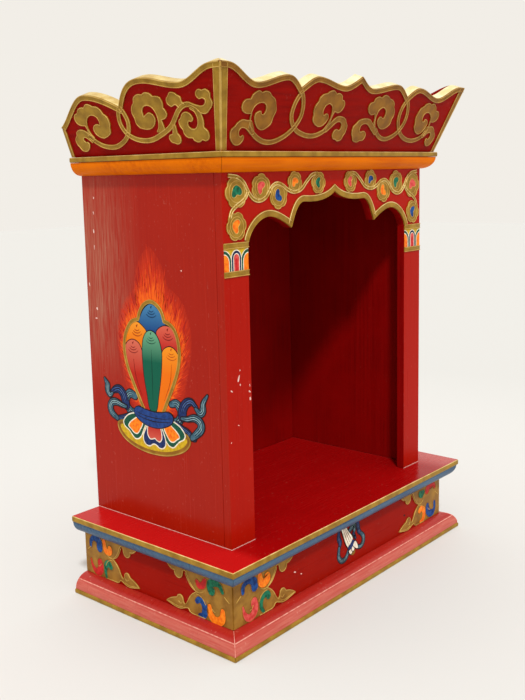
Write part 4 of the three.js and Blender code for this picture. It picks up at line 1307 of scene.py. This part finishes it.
def plinth_corner(work, face, at, side, jewels, stretch=1.0):
    """The gilt cloud at one end of a plinth face, with its jewel strokes and piped lines."""
    def along(points):
        return [(at + side * x * stretch, y) for x, y in points]

    cloud = flowing(along(PLINTH_CLOUD), 3)
    work.plate(PLINTH_GOLD, face, cloud, RELIEF)
    rim = [point for point in inset(cloud, 0.4) if abs(point[0] - at) > UNPIPED * stretch]
    first = max(range(len(rim)), key=lambda i: math.dist(rim[i], rim[i - 1]))
    work.pipe(PALE_GOLD, face, rim[first:] + rim[:first], RELIEF)
    for line in PLINTH_LINES:
        work.pipe(PALE_GOLD, face, flowing(along(line), closed=False), RELIEF, FINE_BEAD)
    for finish, points, widths in jewels:
        stone = brush(along(points), widths)
        work.pipe(DARK_GOLD, face, stone, RELIEF, 0.4, closed=True)
        work.paint(JEWELS[finish], face, stone, JEWEL_COAT, RELIEF)


def make_plinth_gilt():
    work = Ornament("plinth_front_gilt")
    plinth_corner(work, PLINTH_FRONT, -PLINTH_HALF + EDGE_ROOM, 1, FRONT_LEFT_JEWELS)
    plinth_corner(work, PLINTH_FRONT, PLINTH_HALF - EDGE_ROOM, -1, FRONT_RIGHT_JEWELS)
    work.make()
    for place, side, face in (("left", 1, PLINTH_LEFT), ("right", -1, PLINTH_RIGHT)):
        work = Ornament(f"plinth_{place}_gilt")
        plinth_corner(work, face, side * EDGE_ROOM, side, SIDE_REAR_JEWELS, SIDE_REAR_STRETCH)
        front = side * (PLINTH_DEPTH - EDGE_ROOM)
        plinth_corner(work, face, front, -side, SIDE_FRONT_JEWELS, SIDE_FRONT_STRETCH)
        work.make()


# Medallion of the side panels: six jewels in a halo of flames, on a lotus

HALO = [
    (79, 201), (72, 213), (64, 228), (57, 243), (53.6, 258), (54.8, 270), (59.4, 280), (66, 287.4),
    (75.4, 290.6), (75.4, 290.6), (78.2, 298), (84.4, 305.4), (93.6, 309), (102, 306.4), (108.6, 300),
    (112, 291.4), (112, 291.4), (118.6, 289.4), (125.4, 284), (129.6, 274), (130.8, 260), (128, 246),
    (121, 230), (113, 215), (105.6, 201),
]
HALO_WIDTH = 3.8
HALO_RELIEF = 0.62
# How far the flames reach from the halo, evenly spaced along it, and how they lean
FLAME_REACH = (12, 17, 18, 18, 20, 24, 30, 42, 53, 43, 34, 31, 30, 30, 29, 22, 12)
FLAME_ROOT = (93, 225)
FLAME_RISE = 0.5
FLAME_TONGUES = 260
# Where the tongues start, how far they sway and how long they are, as shares of the reach
TONGUE_START = 0.6
TONGUE_SWAY = 0.06
TONGUE_LENGTH = (0.25, 0.5)
# The tongues' colours, each with the dimness that it goes up to
FLAME_TONES = ((0.55, "orange"), (1.1, "red"), (math.inf, "dark"))
GLOW_GRID = (96, 4)
GLOW_DEPTH = 0.1
# The stones: finish, outline, the place of the curl, and the top and foot of the line down the middle
STONES = [
    ("blue", [(74, 284), (78, 292), (84, 301), (93.4, 306.4), (102, 303), (108.6, 296), (114, 284),
              (108, 274), (94, 270), (80, 274)], (94.4, 303.4), None),
    ("orange", [(55.6, 268), (59, 279), (65.6, 286), (73.6, 287.6), (80, 284.6), (86, 279), (84, 268),
                (79, 256), (55, 256)], (73, 283.4), None),
    ("red", [(100.6, 279.6), (105.6, 284.6), (113, 287), (121.4, 285.4), (128, 277.6), (130.4, 266),
             (129.6, 256), (104, 256)], (116, 283.4), None),
    ("rose", [(54, 258.6), (58, 266), (66, 269.4), (74.6, 266.6), (78.8, 259.4), (79.2, 249), (81, 235),
              (84, 219), (87, 202), (79, 202), (73, 212), (66, 224), (59.4, 238), (55, 249)],
     (66.4, 266), (250, 214)),
    ("amber", [(106.8, 258.6), (110.4, 264.4), (118, 267.4), (125.4, 265), (129.8, 258.4), (129, 249),
               (125, 238), (118.4, 224), (111.4, 210), (106, 202), (96.6, 202), (100, 215), (104, 232),
               (106.4, 247)], (120, 264.6), (251, 214)),
    ("green", [(80, 262), (82, 272), (86.6, 278.4), (92.6, 280.4), (99, 278), (104, 271), (106.6, 261),
               (106, 249), (104, 235), (100, 217), (96, 202), (88, 202), (84.4, 217), (81, 235), (80, 249)],
     (92.6, 277.6), (262, 212)),
]
CUSHION = [
    (64.6, 197.4), (67, 201.4), (72, 203), (80, 201.4), (92, 200.4), (104, 201.4), (112.6, 203), (118, 201),
    (119.6, 197), (117, 192.6), (110, 188.8), (101, 186), (92, 185.2), (82, 186.2), (73, 189.2), (67, 193),
]
CUSHION_LINES = [
    ([(65.4, 198), (78, 195.6), (92, 194.8), (106, 195.6), (118.8, 198)], 0.9),
    ([(68.6, 194), (80, 192), (92, 191.2), (104, 192), (116, 194)], 1.1),
]
OUTER_PETAL = [
    (66, 196), (56, 193.4), (50, 189), (46.8, 184), (48.8, 179.4), (55, 176), (59.4, 172), (64, 168.6),
    (70, 169.6), (74.6, 174), (77.6, 180), (81, 187), (78, 193),
]
OUTER_HEART = [
    (70, 193), (63, 189.4), (56.6, 184.8), (54.4, 180.6), (58.4, 177.6), (63, 174.4), (68, 174.4),
    (72, 178.6), (76.6, 186), (76, 191),
]
MIDDLE_PETAL = [
    (84, 188), (79.6, 182), (76, 175), (76.6, 168.4), (80.6, 165), (86, 164.8), (90, 167.2), (92.4, 167.6),
    (95, 167), (99, 164.8), (104.6, 165.4), (108.4, 169.4), (108.6, 175), (106, 182), (102, 188),
]
MIDDLE_HEART = [
    (84.6, 188), (82.4, 182), (82.6, 176), (86, 172.2), (90, 172.6), (92.8, 173.6), (95.6, 172),
    (100, 171.2), (103.4, 175), (103.2, 182), (100.8, 188),
]
LOTUS_MIDDLE = 91.2
DISH = [
    (44, 185.4), (38.4, 182), (39, 175.6), (43.6, 169.6), (52, 164), (64, 160), (78, 157.6), (92, 157.2),
    (108, 158.6), (122, 162.4), (134, 168), (140.6, 174.4), (142, 180), (137.6, 185.6), (120, 188),
    (92, 188), (62, 188),
]
# The dish has a piped rim below this height.
DISH_RIM_TO = 181
# The scarves: finish, middle line and widths, from the back ones to the front ones
LEFT_SCARVES = [
    ("teal", [(66, 212.4), (58.6, 214.6), (53.6, 209.4), (54, 201), (59, 195.8), (66, 195)],
     (6.5, 8, 6.5, 8, 8)),
    ("navy", [(29, 210.6), (35, 214.8), (42, 216.6), (48, 212.4), (50.6, 206), (52.6, 201.6)],
     (2.5, 6.5, 8.5, 9, 9)),
    ("teal", [(20.6, 225), (24.4, 219), (24.6, 212.6), (28, 208.4), (31.6, 211)], (1.5, 6.5, 6.5, 4.5, 2.5)),
    ("navy", [(60, 194), (52, 189.6), (44, 187), (37, 185.6)], (3, 5, 5, 4)),
    ("teal", [(38, 185.8), (30.4, 190), (27.6, 196), (31, 201.6), (38, 202.6), (46, 200.6), (52, 200)],
     (4, 7, 7, 6.5, 4.5, 2.5)),
]
RIGHT_SCARVES = [
    ("teal", [(116.6, 211.4), (124, 213.4), (129.4, 208), (129.6, 201), (125, 195.6), (118, 194.4)],
     (5, 8, 8, 8, 6.5)),
    ("navy", [(131.4, 202), (133, 210), (138, 216), (144.4, 218), (149.6, 214.4), (152, 212)],
     (10, 9, 7, 4, 2.5)),
    ("teal", [(149.6, 212.4), (155.6, 208.6), (159, 212), (159.6, 218.6), (165.4, 227)],
     (2.5, 6.5, 7, 5, 1.5)),
    ("navy", [(124, 194.4), (131, 190.4), (138.6, 187.4), (142.4, 184), (147, 183)], (3, 5, 6, 5)),
    ("teal", [(144, 183.4), (151, 188.6), (156.4, 194.6), (155, 200.4), (147.6, 203), (138.6, 200.6),
              (131, 200)], (5, 7, 8, 7, 4.5, 2.5)),
]
OUTLINE = 0.9
# Where the lines of a scarf's folds lie, as shares of its width from its middle, and which are bright
FOLDS = ((0.3, False), (0.16, True), (0.02, False), (-0.12, True), (-0.26, False))
# Radius and drop of the arcs under the curl of a stone
CURL_ARCS = ((3.4, 2.2), (5.4, 3.4), (7.4, 5))
CURL_START = 205
CURL_SWEEP = 130
# The place along the panel that the stones' middle lines lean to, and how far they do
STONES_MIDDLE = 91.6
STONE_LEAN = 0.42
# The order of the coats of paint, from the panel outwards
HALO_COAT = 4
CURL_COAT = 19
DISH_COAT = 20
OUTER_PETAL_COAT = 23
MIDDLE_PETAL_COAT = 27
CUSHION_COAT = 31


def flame_line(count):
    """Places along the halo, each with the way that the flames lean there and how far they reach."""
    line = flowing(HALO, 6, closed=False)
    last = len(line) - 1
    places = []
    for i in range(count):
        share = i / (count - 1)
        k = share * last
        here = Vector(line[int(k)]).lerp(Vector(line[min(int(k) + 1, last)]), k % 1)
        lean = (here - Vector(FLAME_ROOT)).normalized() + Vector((0, FLAME_RISE))
        place = share * (len(FLAME_REACH) - 1)
        step = min(int(place), len(FLAME_REACH) - 2)
        reach = FLAME_REACH[step] + (FLAME_REACH[step + 1] - FLAME_REACH[step]) * (place - step)
        places.append((here, lean.normalized(), reach))
    return places


def flame_glow(name, face, side):
    """A thin coat of paint round the halo that fades from orange to the panel's red, in streaks."""
    bm = bmesh.new()
    columns, rows = GLOW_GRID
    bmesh.ops.create_grid(bm, x_segments=columns, y_segments=rows, size=0.5)
    along = bm.verts.layers.float_vector.new("halo_place")
    places = flame_line(columns + 1)
    for vert in bm.verts:
        share, rise = vert.co.x + 0.5, vert.co.y + 0.5
        vert[along] = (share, rise, 0)
        here, lean, reach = places[round(share * columns)]
        place = here + lean * reach * rise
        vert.co = face.at(side * place.x, place.y, COAT / 2)
    corners, _ = extruded(bm, bm.faces[:])
    bmesh.ops.translate(bm, verts=corners, vec=face.out * -GLOW_DEPTH * MM)
    add_piece(name, finish_mesh(name, bm), [FLAME_GLOW])


def flame_tongues(work, face, side):
    """Fine tapered strokes over the glow."""
    for here, lean, reach in flame_line(FLAME_TONGUES):
        from_halo = random.uniform(0.0, TONGUE_START)
        start = here + lean * reach * from_halo
        sway = Vector((-lean.y, lean.x)) * random.uniform(-TONGUE_SWAY, TONGUE_SWAY)
        end = here + (lean + sway) * reach * (from_halo + random.uniform(*TONGUE_LENGTH))
        middle = start.lerp(end, 0.5) + sway * reach * 0.3
        dim = random.random() + from_halo
        tone = next(tone for dimmest, tone in FLAME_TONES if dim < dimmest)
        stroke = brush([start[:], middle[:], end[:]], (0.5, 0.85, 0.2), side, 2, 2)
        work.paint(FLAMES[tone], face, stroke, random.choice((2, 3)))


def scarf(work, face, side, finish, points, widths, coat):
    """A ribbon with a dark outline and fold lines along it."""
    work.paint(INK, face, brush(points, [width + 2.4 * OUTLINE for width in widths], side), coat)
    work.paint(SCARVES[finish], face, brush(points, widths, side), coat + 1)
    line = flowing(flip(points, side), closed=False)
    for share, shines in FOLDS:
        fold = offset(line, widths[len(widths) // 2] * share, False)[2:-2]
        stroke = brush(fold, (0.2, 0.9, 0.9, 0.2), steps=1, tip_steps=2)
        work.paint(SCARF_SHINES[finish] if shines else INK, face, stroke, coat + 2)


def scarves(work, face, side, rows, coat):
    for i, (finish, points, widths) in enumerate(rows):
        scarf(work, face, side, finish, points, widths, coat + 3 * i)


def curl(work, face, side, x, y, ink):
    """Nested arcs under a small comma, as on the tip of each stone."""
    hook = brush([(x + 0.9, y + 1.5), (x - 0.3, y + 0.3), (x + 0.1, y - 0.9)], (0.5, 1.3, 0.4), side, 3)
    work.paint(ink, face, hook, CURL_COAT)
    for radius, drop in CURL_ARCS:
        arc = []
        for i in range(7):
            angle = math.radians(CURL_START + CURL_SWEEP * i / 6)
            arc.append((x + radius * math.cos(angle), y - drop + radius * 0.62 * math.sin(angle)))
        work.paint(ink, face, brush(arc, (0.3, 0.75, 0.3), side, 2, 2), CURL_COAT)


def petal(work, face, side, outline, heart, leaf, core, coat):
    """A petal and the heart inside it, each with a white line round it."""
    for points, finish, line in ((outline, leaf, 1.2), (heart, core, 1.1)):
        shape = flowing(flip(points, side), 3)
        work.paint(WHITE, face, shape, coat)
        work.paint(finish, face, inset(shape, line), coat + 1)
        coat += 2


def inked(work, face, shape, finish, coat):
    """A painted shape with a dark outline."""
    work.paint(INK, face, inset(shape, -OUTLINE), coat)
    work.paint(finish, face, shape, coat + 1)


def paint_halo(work, face, side):
    halo = flowing(flip(HALO, side), 5, closed=False)
    work.paint(INK, face, halo, HALO_COAT)
    work.plate(GOLD, face, strip(halo, HALO_WIDTH), HALO_RELIEF)
    for hand in (-1, 1):
        rim = offset(halo, hand * (HALO_WIDTH / 2 - 0.3), False)
        work.pipe(PALE_GOLD, face, rim, HALO_RELIEF - BEAD_RISE, 0.3)


def paint_stones(work, face, side):
    """The stones, with a curl at each one's tip and a line down the middle of the tall ones."""
    for i, (finish, points, (x, y), middle) in enumerate(STONES, 1):
        ink = STONE_INKS[finish]
        inked(work, face, flowing(flip(points, side)), STONE_PAINTS[finish], HALO_COAT + 2 * i)
        curl(work, face, side, x, y, ink)
        if middle:
            head, foot = middle
            shift = (STONES_MIDDLE - x) * STONE_LEAN
            line = [(x, head), (x + shift * 0.25, (head + foot) / 2), (x + shift, foot)]
            work.paint(ink, face, brush(line, (0.2, 0.8, 0.2), side, 3, 2), CURL_COAT)


def paint_lotus(work, face, side):
    """The dish, its petals and the cushion on them."""
    dish = flowing(flip(DISH, side), 3)
    work.paint(GOLD, face, dish, DISH_COAT)
    rim = [point for point in inset(dish, 0.6) if point[1] < DISH_RIM_TO]
    work.pipe(PALE_GOLD, face, sorted(rim), 0.5, 0.35)
    work.paint(DARK_GOLD, face, inset(dish, 1.8), DISH_COAT + 1)
    work.paint(YELLOW, face, inset(dish, 4.4), DISH_COAT + 2)
    for hand, middle in ((1, 0), (-1, 2 * LOTUS_MIDDLE)):
        outline, heart = (flip(points, hand, (middle, 0)) for points in (OUTER_PETAL, OUTER_HEART))
        petal(work, face, side, outline, heart, DARK_GREEN, JEWELS["orange"], OUTER_PETAL_COAT)
    petal(work, face, side, MIDDLE_PETAL, MIDDLE_HEART, SCARVES["navy"], PETAL_RED, MIDDLE_PETAL_COAT)
    inked(work, face, flowing(flip(CUSHION, side)), CUSHION_BLUE, CUSHION_COAT)
    for points, width in CUSHION_LINES:
        work.paint(INK, face, brush(points, (0.4, width, 0.4), side), CUSHION_COAT + 2)


def make_medallion(place, face, side):
    """The panel's medallion, mirrored on the right side."""
    flame_glow(f"flame_glow_{place}", face, side)
    work = Ornament(f"medallion_{place}")
    flame_tongues(work, face, side)
    paint_halo(work, face, side)
    paint_stones(work, face, side)
    scarves(work, face, side, LEFT_SCARVES, HALO_COAT)
    scarves(work, face, side, RIGHT_SCARVES, HALO_COAT)
    paint_lotus(work, face, side)
    work.make()


# Conch on the plinth's front

CONCH = [
    (-17, 61), (-17, 61), (-8.6, 61), (-8.6, 61), (-4, 54.6), (1, 49.4), (3.4, 45), (3.4, 45), (-1, 40.6),
    (-5.4, 37.6), (-5.4, 37.6), (-9, 42.6), (-12, 49.6), (-14.8, 56),
]
CONCH_STRIPES = [
    [(-13.6, 60.6), (-9.6, 51), (-4.6, 41.4)], [(-11.8, 60.8), (-6.8, 51.4), (-2.4, 43)],
    [(-10.4, 60.8), (-4, 51.6), (0.6, 44.6)],
]
CONCH_BAND = [
    (-5.6, 37), (-2.6, 34.2), (1, 35.4), (5.6, 40.6), (4.6, 43.6), (2.4, 43.8), (-1, 40.4), (-4, 39.4),
]
CONCH_LOOP = [(-1, 29), (3, 26.6), (7.2, 28), (7, 31.4), (4, 31.6)]
CONCH_TIPS = [
    [(-3.8, 32.6), (-0.6, 28.8), (2.2, 31), (-0.6, 34.6)], [(1, 33.4), (4, 31), (6.4, 34), (3.4, 37)],
    [(3.4, 38), (7, 33.8), (12.4, 31.4), (11.6, 35.6), (7.6, 41)],
]
CONCH_SCARVES = [
    ("navy", [(-20.4, 60.4), (-21, 52.4), (-18.6, 47), (-20.2, 41)], (3, 5, 5, 3)),
    ("teal", [(-20.6, 42), (-21.4, 32.6), (-17.4, 27), (-11.4, 26), (-6.6, 29), (-4.6, 33)],
     (3, 4.5, 4.5, 4.5, 3)),
    ("navy", [(12.6, 60.8), (14, 54), (15.4, 49.4), (19.4, 45.4)], (4, 5, 4.5, 3)),
    ("teal", [(19, 46), (23.4, 41), (23, 34.4), (18.4, 31.4), (12.6, 32.6)], (3, 4.5, 4.5, 4, 3)),
    ("teal", [(-3.6, 54), (0.6, 57), (6.4, 59.6), (6.8, 54), (5.6, 50)], (3, 4.5, 4, 4, 3)),
    ("navy", [(4.6, 50.6), (7, 46.6), (9, 43.4)], (2, 2.6, 1)),
]
SHELL_COAT = 22


def make_emblem():
    work = Ornament("conch")
    face = PLINTH_FRONT
    scarves(work, face, 1, CONCH_SCARVES, 2)
    work.paint(GOLD, face, flowing(CONCH_LOOP), SHELL_COAT - 2)
    inked(work, face, flowing(CONCH, 3), WHITE, SHELL_COAT)
    for points in CONCH_STRIPES:
        work.paint(SHELL_SHADE, face, brush(points, (0.5, 1, 0.5)), SHELL_COAT + 2)
    for i, points in enumerate(CONCH_TIPS):
        inked(work, face, flowing(points, 3), WHITE, SHELL_COAT + 2 + 2 * i)
    work.paint(SCARVES["navy"], face, flowing(CONCH_BAND, 3), SHELL_COAT + 9)
    work.make()


# Wear

# Where paint has chipped: face, place along it and up it, width and height, and turn
CHIPS = [
    (ARCH, -149.4, 243.7, 1.0, 3.6, -0.4), (ARCH, -134.4, 222, 1.0, 1.7, 0.1),
    (ARCH, -134.8, 228.8, 0.7, 1.6, 0.9), (ARCH, -159.4, 233.5, 0.5, 1.8, 0.9),
    (ARCH, -147.5, 237.5, 0.7, 1.0, 0.2), (ARCH, -147.6, 251, 0.5, 1.0, -0.3),
    (ARCH, -151, 200, 0.4, 1.2, 1.2), (ARCH, -161.5, 186, 0.6, 0.6, 0), (ARCH, -134.6, 234.6, 0.4, 1.4, 0.2),
    (PLINTH_FRONT, -94, 42.2, 1.9, 0.8, -0.3), (PLINTH_FRONT, -84, 37, 1.4, 0.5, -0.4),
    (PLINTH_FRONT, -150, 34, 0.6, 0.4, 0.3), (LEFT_PANEL, 137, 340.5, 0.9, 0.6, 0.2),
    (LEFT_PANEL, 17, 407, 0.5, 1.2, 0.3), (LEFT_PANEL, 15.6, 392, 0.5, 1.6, 0.1),
    (LEFT_PANEL, 14.6, 374, 0.8, 2.2, 0.2), (LEFT_PANEL, 14.4, 358, 0.4, 2.4, 0.0),
    (LEFT_PANEL, 14, 296, 1.2, 1.4, 0.4), (LEFT_PANEL, 12.4, 286, 1.6, 0.9, 0.1),
    (LEFT_PANEL, 4, 320, 0.6, 2.0, 0.2),
]
# A dark knock on the plinth's front: place along it and up it, width and height, and turn
KNOCK = (106.6, 38.4, 2, 1.1, -0.5)
FLAKE_CORNERS = 9
RAGGED = 0.2


def make_chips():
    """Small flakes where the pale ground shows through the paint, and one dark knock."""
    work = Ornament("chips")
    for face, x, y, wide, high, turn in CHIPS:
        corners = oval(x, y, wide, high, turn, FLAKE_CORNERS)
        flake = [tuple(value + random.uniform(-RAGGED, RAGGED) for value in corner) for corner in corners]
        work.paint(CHIPPED, face, flake, 1)
    work.paint(INK, PLINTH_FRONT, oval(*KNOCK, FLAKE_CORNERS), 1)
    work.make()


# The skirt's shoulder, as an angle round its moulding, and the beads that lie along it as a painted
# highlight, in the mitres as worn paint and in the joint at the body's foot as dust
SHOULDER = math.radians(42)
SHOULDER_LINE = 0.62
SHOULDER_DEPTH = 0.35
MITRE_LINE = 0.32
JOINT_LINE = 0.28


def make_highlight_wear_and_dust_lines():
    """A painted highlight on the skirt's shoulder, paint rubbed pale on its mitres, and dust in the joint at
    the body's foot.
    """
    work = Ornament("rubbed_lines")
    out, level = round_at(*SKIRT_ROUND, SHOULDER)
    places = [round_at(*SKIRT_ROUND, math.radians(turn)) for turn in range(0, 90, 8)]
    mitre = [(a * math.sqrt(2), b) for a, b in places]

    # A pale line along the shoulder, as a painted highlight
    def paint_shoulder_highlight(face, start, end):
        line = [(start, level), (end, level)]
        work.pipe(RUBBED_PINK_AND_HIGHLIGHT, face, line, out - SHOULDER_DEPTH, SHOULDER_LINE)

    def dust(face, start, end):
        work.pipe(CHIPPED, face, [(start, BODY_FOOT), (end, BODY_FOOT)], 0, JOINT_LINE)

    paint_shoulder_highlight(PLINTH_FRONT, -(PLINTH_HALF + out - 1), PLINTH_HALF + out - 1)
    for face, side, wall in ((PLINTH_LEFT, 1, LEFT_PANEL), (PLINTH_RIGHT, -1, RIGHT_PANEL)):
        paint_shoulder_highlight(face, side * 0.6, side * (PLINTH_DEPTH + out - 1))
        corner = Face(face.at(side * PLINTH_DEPTH, 0) / MM, face.out + side * face.along, (0, 0, 1))
        work.pipe(RUBBED_PINK_AND_HIGHLIGHT, corner, mitre, 0, MITRE_LINE)
        dust(wall, side * 1, side * BODY_DEPTH)
        dust(ARCH, -side * OPENING_HALF, -side * BODY_HALF)
    work.make()


# Stage, lights and camera

FLOOR_HALF = 6.0
# The floor's colour near the altar and far from it, with how far that is, in metres: lighter near the altar,
# as painted light against its shadow
FLOOR_PAINTED_LIGHT = ((0.3, srgb(222, 222, 220)), (1.0, srgb(212, 212, 210)))
ROOM = srgb(242, 238, 231)


def make_stage():
    bm = bmesh.new()
    bmesh.ops.create_grid(bm, x_segments=1, y_segments=1, size=FLOOR_HALF)
    finish = Finish("pale_floor", 0.9, coat=0.0)
    away = finish.node("VectorMath", [(0, finish.place)], operation="LENGTH").outputs["Value"]
    floor = link_object("floor", finish_mesh("floor", bm))
    floor.data.materials.append(finish.made(finish.ramp(away, *FLOOR_PAINTED_LIGHT)))


SUN_AZIMUTH = -42
SUN_HEIGHT = 47
SUN_SPREAD = 6
SUN_STRENGTH = 2.0


def make_lights():
    """Even daylight all round, and one broad soft light from high on the front left."""
    light = bpy.data.lights.new("skylight", "SUN")
    light.angle = math.radians(SUN_SPREAD)
    light.energy = SUN_STRENGTH
    lamp = link_object("skylight", light)
    lamp.rotation_euler = (math.radians(90 - SUN_HEIGHT), 0, math.radians(SUN_AZIMUTH))
    world = bpy.data.worlds.new("studio")
    world.use_nodes = True
    background = world.node_tree.nodes["Background"]
    background.inputs["Color"].default_value = ROOM
    background.inputs["Strength"].default_value = 1.0
    bpy.context.scene.world = world


CAMERA_AT = (-0.74996, -0.62162, 0.42665)
CAMERA_AZIMUTH = 49.029
CAMERA_DOWN = 9.061
CAMERA_ROLL = -1.315
CAMERA_LENS = 46.97
CAMERA_SHIFT = (0.0086, -0.0434)


def make_camera():
    data = bpy.data.cameras.new("camera")
    data.sensor_fit = "VERTICAL"
    data.sensor_height = 36
    data.lens = CAMERA_LENS
    data.shift_x, data.shift_y = CAMERA_SHIFT
    data.clip_start = 0.01
    camera = link_object("camera", data)
    camera.location = CAMERA_AT
    aim = Euler((math.radians(90 - CAMERA_DOWN), 0, -math.radians(CAMERA_AZIMUTH))).to_quaternion()
    roll = Euler((0, 0, math.radians(CAMERA_ROLL))).to_quaternion()
    camera.rotation_mode = "QUATERNION"
    camera.rotation_quaternion = aim @ roll
    bpy.context.scene.camera = camera
    bpy.context.scene.view_settings.view_transform = "Standard"


make_camera()
make_stage()
make_lights()
make_boards()
make_mouldings()
make_arch_board()
make_crest_boards()
make_plinth_boards()
make_front_scrolls()
make_side_scrolls("crest_left_gilt", CREST_LEFT, 1)
make_side_scrolls("crest_right_gilt", CREST_RIGHT, -1)
make_arch_gilt()
make_plinth_gilt()
make_medallion("left", LEFT_PANEL, 1)
make_medallion("right", RIGHT_PANEL, -1)
make_emblem()
make_chips()
make_highlight_wear_and_dust_lines()
